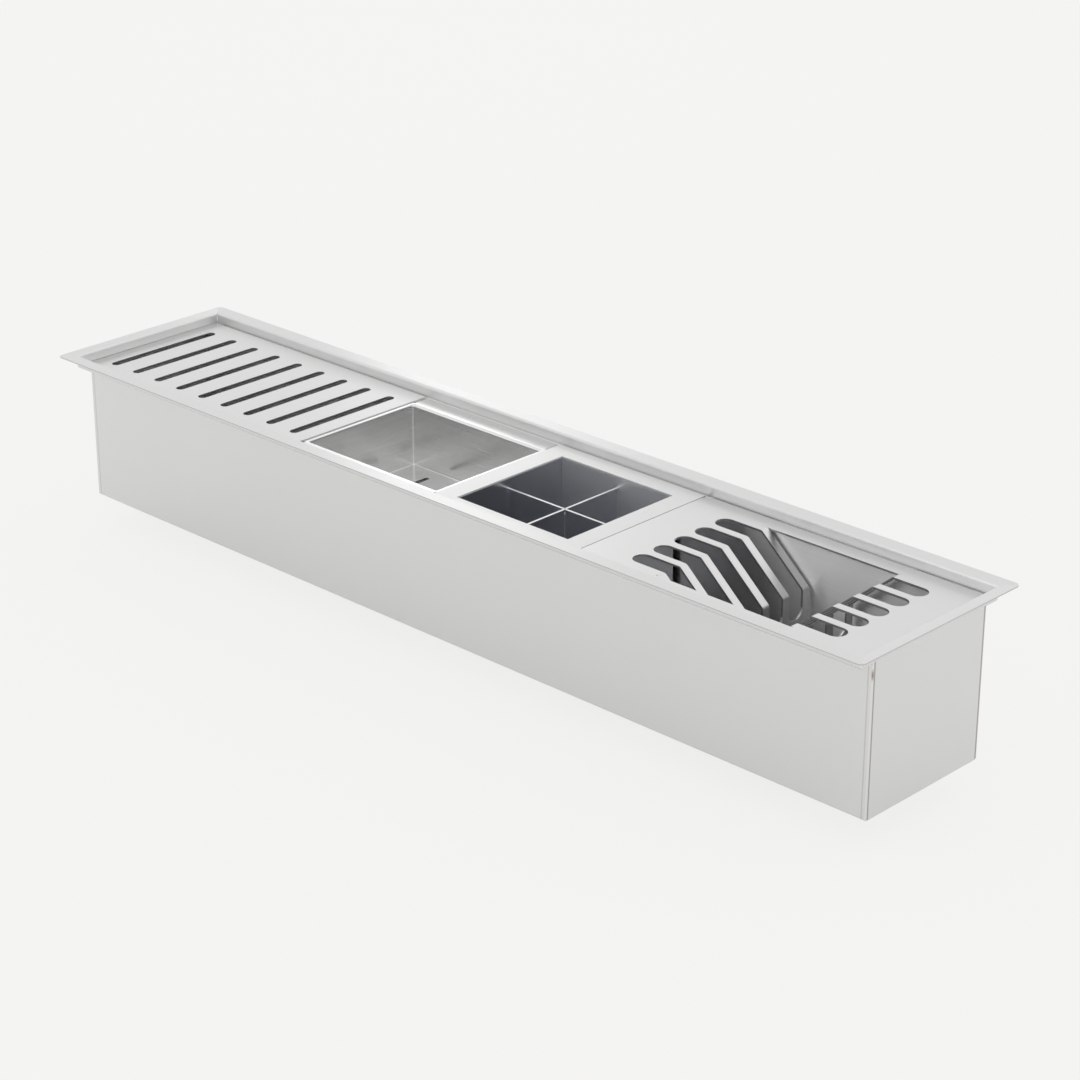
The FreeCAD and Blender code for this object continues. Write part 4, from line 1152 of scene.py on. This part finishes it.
class TROUGH_OT_dish_rack(Operator):
    """Makes the dish rack: two combs with bent tongues and the rails that join them"""

    bl_idname = "trough.dish_rack"
    bl_label = "Dish rack"

    def execute(self, context):
        size = context.scene.trough_sizes
        for end in (-1, 1):
            self.make_comb(size, end)
        for side in (-1, 1):
            self.make_rail(size, side)
        return {"FINISHED"}

    def make_comb(self, size, end):
        node = f"rack_{side_name(end)}_comb"
        low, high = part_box(node)
        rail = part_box("rack_back_rail")
        middle = (rail[0].x + rail[1].x) / 2
        joint = rail[1].x - middle
        outer = (high.x if end > 0 else low.x) - middle
        upright = (low.x if end > 0 else high.x) - middle
        tongue = rail[0].y - size.rack_play
        elbow = high.z - (size.rack_fold - abs(upright)) * math.tan(size.rack_slant)
        start = middle + end * joint
        near, far = sorted((start, middle + outer))

        def is_tongue_edge(edge):
            return lies_at(x=start)(edge) and all(abs(corner.co.y) < tongue + TOUCH for corner in edge.verts)

        def is_upper_cut(face):
            return abs(face.normal.y) > FACING and face.calc_center_median().z > elbow

        def is_lower_cut(face):
            return abs(face.normal.y) > FACING and face.calc_center_median().z < elbow

        piece = add_sheet(f"{node}_sheet", (near, -tongue, high.z), (far, tongue, high.z))
        edit(piece)
        for side in (-1, 1):
            pick("EDGE", lies_at(y=side * tongue))
            fold(0, side * (high.y - tongue), 0)
        pick("EDGE", is_tongue_edge)
        fold(end * (size.rack_fold - joint), 0, 0)
        fold(upright - end * size.rack_fold, 0, elbow - high.z)
        fold(0, 0, low.z - elbow)
        pick("VERT", lies_at(x=middle + outer, out=high.y))
        round_corners(size.plate_corner)
        outer_radius = size.rack_bend + size.plate
        pick("EDGE", lies_at(x=middle + end * size.rack_fold, z=high.z))
        bend(outer_radius, size.rack_slant)
        pick("EDGE", lies_at(x=middle + upright, z=elbow))
        bend(outer_radius, math.pi / 2 - size.rack_slant)
        thicken(piece, size.plate, (0, 0, 1), lies_at(z=high.z))
        self.cut_slots(piece, size, middle, end, upright, low.z + size.rack_web, high.z)
        ease_edges(piece, size.ease, lies_at(x=start))
        # the upper cut faces are painted dark, a painted shade in the slots
        finish(
            piece, "rack_steel", "dish_rack", "plate_steel", node,
            cuts=[(is_upper_cut, "cut_steel"), (is_lower_cut, "edge_steel")])

    def cut_slots(self, piece, size, middle, end, upright, foot, top):
        """Cuts the row of slots down through the plate, then level through the tongue."""
        half = size.rack_slot / 2
        first = -size.rack_pitch * (size.rack_count - 1) / 2
        far = middle + end * size.rack_reach
        near = middle + end * (size.rack_fold - size.plate)
        clear = 5 * size.plate
        down = slot_cutter(
            (min(near, far), first - half, top - clear), (max(near, far), first + half, top + clear),
            "y", (("x", far),))
        row(down, size.rack_count, 0, size.rack_pitch, 0)
        cut(piece, down)
        inner = middle + upright - end * clear
        outer = middle + end * (size.rack_fold + size.plate)
        level = slot_cutter(
            (min(inner, outer), first - half, foot), (max(inner, outer), first + half, top + clear),
            "y", (("z", foot),))
        row(level, size.rack_count, 0, size.rack_pitch, 0)
        cut(piece, level)

    def make_rail(self, size, side):
        node = "rack_back_rail" if side > 0 else "rack_front_rail"
        low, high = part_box(node)

        def is_seam(edge):
            return lies_at(x=low.x)(edge) or lies_at(x=high.x)(edge)

        piece = add_sheet(f"{node}_sheet", (low.x, low.y, high.z), high)
        edit(piece)
        thicken(piece, size.plate, (0, 0, 1), lies_at(z=high.z))
        ease_edges(piece, size.ease, is_seam)
        # the rail's inner edge is painted dark, a painted shade line along the opening
        finish(
            piece, "rack_steel", "dish_rack", "plate_steel", node,
            cuts=[(is_cut_face((abs(low.y) + abs(high.y)) / 2), "cut_steel")])


def thread(radius, depth, pitch, top, bottom):
    """Corners of a ridged thread, from its top down."""
    corners = []
    for ridge in range(int((top - bottom) / pitch)):
        height = top - ridge * pitch
        corners += [(radius, height), (radius, height - pitch / 4), (radius - depth, height - 5 * pitch / 8)]
    return corners + [(radius, bottom)]


class TROUGH_OT_waste(Operator):
    """Turns the waste: body with threaded neck, gasket and locknut"""

    bl_idname = "trough.waste"
    bl_label = "Waste"

    def execute(self, context):
        size = context.scene.trough_sizes
        self.make_body(size)
        self.make_gasket(size)
        self.make_nut(size)
        return {"FINISHED"}

    def make_body(self, size):
        low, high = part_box("drain_body")
        edge = (high.x - low.x) / 2
        under = FLOOR_UNDER + size.sheet
        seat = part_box("strainer_basket")[1].z - size.strainer_sheet
        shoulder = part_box("drain_locknut")[0].z
        ridges = thread(
            size.waste_neck, size.thread_depth, size.thread_pitch, FLOOR_UNDER - size.thread_pitch, shoulder)
        profile = [
            (size.waste_bore, seat), (size.waste_seat, seat), (size.waste_seat, high.z),
            (edge - size.waste_slope, high.z), (edge, under + size.waste_rim), (edge, under),
            (size.waste_neck, under), *ridges, (size.waste_tail, shoulder), (size.waste_tail, low.z),
            (size.waste_bore, low.z), (size.waste_bore, seat)]
        piece = turned("waste_body", middle_of("drain_body"), profile)
        ease_edges(piece, size.ease, lambda edge: all(under > v.co.z > shoulder - TOUCH for v in edge.verts))
        finish(piece, "waste_chrome", "trough", "waste_steel", "drain_body")

    def make_gasket(self, size):
        low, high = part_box("drain_gasket")
        inner = size.waste_neck + size.gasket_play
        outer = (high.x - low.x) / 2
        profile = [(inner, low.z), (outer, low.z), (outer, high.z), (inner, high.z), (inner, low.z)]
        piece = turned("waste_gasket", middle_of("drain_gasket"), profile)
        ease_edges(piece, size.ease)
        finish(piece, "seal_rubber", "trough", "seal_rubber", "drain_gasket")

    def make_nut(self, size):
        low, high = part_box("drain_locknut")
        centre = middle_of("drain_locknut")
        rest()
        bpy.ops.mesh.primitive_circle_add(
            vertices=6, radius=(high.x - low.x) / 2, fill_type="NGON", location=(centre.x, centre.y, low.z),
            rotation=(0, 0, math.pi / 2))
        piece = settle("waste_nut")
        edit(piece)
        bpy.ops.mesh.select_all(action="SELECT")
        bpy.ops.mesh.extrude_region_move(TRANSFORM_OT_translate={"value": (0, 0, high.z - low.z)})
        bpy.ops.mesh.select_all(action="SELECT")
        bpy.ops.mesh.normals_make_consistent(inside=False)
        pick("EDGE", is_cut_edge)
        bpy.ops.mesh.bevel(offset=4 * size.ease, segments=3, affect="EDGES")
        drill(piece, centre, size.waste_neck + size.nut_play, 4 * (high.z - low.z))
        finish(piece, "nut_plastic", "trough", "nut_plastic", "drain_locknut")


class TROUGH_OT_strainer(Operator):
    """Turns the strainer basket and its knob"""

    bl_idname = "trough.strainer"
    bl_label = "Strainer"

    def execute(self, context):
        size = context.scene.trough_sizes
        self.make_basket(size)
        self.make_knob(size)
        return {"FINISHED"}

    def make_basket(self, size):
        low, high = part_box("strainer_basket")
        centre = middle_of("strainer_basket")
        rim = (high.x - low.x) / 2
        cup = size.waste_bore - (size.waste_seat - rim)
        inside = low.z + size.strainer_sheet
        under = high.z - size.strainer_sheet
        profile = [
            (AXIS, low.z), (cup, low.z), (cup, under), (rim, under), (rim, high.z),
            (cup - size.strainer_sheet, high.z), (cup - size.strainer_sheet, inside), (AXIS, inside)]
        piece = turned("strainer_cup", centre, profile)
        for place in range(size.strainer_holes):
            turn = 2 * math.pi * place / size.strainer_holes
            x = centre.x + size.strainer_ring * math.cos(turn)
            y = centre.y + size.strainer_ring * math.sin(turn)
            drill(piece, (x, y, low.z), size.strainer_hole, 6 * size.strainer_sheet, ROUND_STEPS // 3)
        ease_edges(piece, size.ease / 2)
        finish(piece, "waste_chrome", "strainer", "waste_steel", "strainer_basket")

    def make_knob(self, size):
        low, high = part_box("strainer_knob")
        head = (high.x - low.x) / 2
        neck = high.z - size.knob_head
        profile = [
            (AXIS, low.z), (size.knob_stem, low.z), (size.knob_stem, neck), (head, neck),
            (head, high.z - size.knob_head / 2), (size.knob_crown, high.z), (AXIS, high.z)]
        piece = turned("strainer_grip", middle_of("strainer_knob"), profile)
        edit(piece)
        pick("EDGE", lambda edge: len(edge.link_faces) == 2 and edge.calc_face_angle() > SMOOTH)
        bpy.ops.mesh.bevel(offset=2 * size.ease, segments=4, affect="EDGES")
        rest()
        finish(piece, "waste_chrome", "strainer", "waste_steel", "strainer_knob")


class TROUGH_OT_stage(Operator):
    """Lays the floor, hangs the soft lamps and sets the camera"""

    bl_idname = "trough.stage"
    bl_label = "Stage"

    def execute(self, context):
        stage = context.scene.trough_stage
        context.scene.view_settings.view_transform = "Standard"
        self.lay_floor(stage)
        self.light(context.scene, stage)
        self.set_camera(context.scene, stage)
        return {"FINISHED"}

    def lay_floor(self, stage):
        rest()
        bpy.ops.mesh.primitive_circle_add(
            vertices=64, radius=FLOOR_RADIUS, fill_type="NGON", location=(0, 0, CAD_BOX[0].z))
        floor = settle("floor")
        look, tree, shader, place = new_look("floor_paper")
        fibre = add_node(tree, "ShaderNodeTexNoise", {"Vector": place, "Scale": FIBRES, "Detail": 2.0})
        speckle = spread(tree, fibre.outputs[0], 0.0, 1.0)
        paint = tone(tree, speckle, shade(stage.ground, FIBRE_TONE), stage.ground)
        shader.inputs["Base Color"].default_value = (*stage.ground, 1.0)
        shader.inputs["Roughness"].default_value = 1.0
        shader.inputs["Specular IOR Level"].default_value = 0.0
        glow = add_node(tree, "ShaderNodeEmission", {"Color": paint, "Strength": 1.0})
        ray = add_node(tree, "ShaderNodeLightPath")
        mirrored = maths(tree, "MAXIMUM", ray.outputs["Is Glossy Ray"], ray.outputs["Is Transmission Ray"])
        seen = maths(tree, "MULTIPLY", ray.outputs["Is Camera Ray"], stage.evenness)
        seen = maths(tree, "MAXIMUM", seen, maths(tree, "MULTIPLY", mirrored, stage.mirror_evenness))
        mix = add_node(tree, "ShaderNodeMixShader", {0: seen, 1: shader.outputs[0], 2: glow.outputs[0]})
        tree.links.new(mix.outputs[0], tree.nodes["Material Output"].inputs["Surface"])
        floor.data.materials.append(look)

    def light(self, scene, stage):
        world = bpy.data.worlds.new("surroundings")
        scene.world = world
        world.use_nodes = True
        backdrop = world.node_tree.nodes["Background"]
        backdrop.inputs["Color"].default_value = (1, 1, 1, 1)
        backdrop.inputs["Strength"].default_value = stage.fill
        for name, (place, across, up) in LAMPS.items():
            data = bpy.data.lights.new(f"{name}_lamp", "AREA")
            data.shape = "RECTANGLE"
            data.size = across
            data.size_y = up
            data.energy = getattr(stage, name)
            lamp = bpy.data.objects.new(data.name, data)
            scene.collection.objects.link(lamp)
            lamp.location = place
            lamp.rotation_euler = (-Vector(place)).to_track_quat("-Z", "Y").to_euler()
            lamp.visible_camera = False

    def set_camera(self, scene, stage):
        data = bpy.data.cameras.new("camera")
        data.lens = stage.lens
        data.sensor_width = SENSOR
        camera = bpy.data.objects.new("camera", data)
        scene.collection.objects.link(camera)
        flat = math.cos(stage.elevation)
        back = Vector((
            math.sin(stage.azimuth) * flat, -math.cos(stage.azimuth) * flat, math.sin(stage.elevation)))
        camera.location = Vector(stage.aim) + back * stage.distance
        camera.rotation_euler = (-back).to_track_quat("-Z", "Y").to_euler()
        scene.camera = camera


class TROUGH_PT_panel(Panel):
    """Lists the trough's pieces in the sidebar"""

    bl_label = "Wet trough"
    bl_idname = "TROUGH_PT_panel"
    bl_space_type = "VIEW_3D"
    bl_region_type = "UI"
    bl_category = "Trough"

    def draw(self, context):
        for operator in OPERATORS:
            self.layout.operator(operator.bl_idname)


SETTINGS = {"trough_sizes": TroughSizes, "trough_finishes": TroughFinishes, "trough_stage": TroughStage}
OPERATORS = (
    TROUGH_OT_channel, TROUGH_OT_end_panels, TROUGH_OT_end_welds, TROUGH_OT_grate, TROUGH_OT_bin,
    TROUGH_OT_cutlery_holder, TROUGH_OT_dish_rack, TROUGH_OT_waste, TROUGH_OT_strainer, TROUGH_OT_stage,
)


def register():
    for name, kind in SETTINGS.items():
        bpy.utils.register_class(kind)
        setattr(bpy.types.Scene, name, PointerProperty(type=kind))
    for kind in (*OPERATORS, TROUGH_PT_panel):
        bpy.utils.register_class(kind)


def unregister():
    for kind in (TROUGH_PT_panel, *reversed(OPERATORS)):
        bpy.utils.unregister_class(kind)
    for name, kind in SETTINGS.items():
        delattr(bpy.types.Scene, name)
        bpy.utils.unregister_class(kind)


def main():
    register()
    bpy.ops.trough.channel()
    bpy.ops.trough.end_panels()
    bpy.ops.trough.end_welds()
    bpy.ops.trough.grate()
    bpy.ops.trough.bin()
    bpy.ops.trough.cutlery_holder()
    bpy.ops.trough.dish_rack()
    bpy.ops.trough.waste()
    bpy.ops.trough.strainer()
    bpy.ops.trough.stage()


if __name__ == "__main__":
    main()
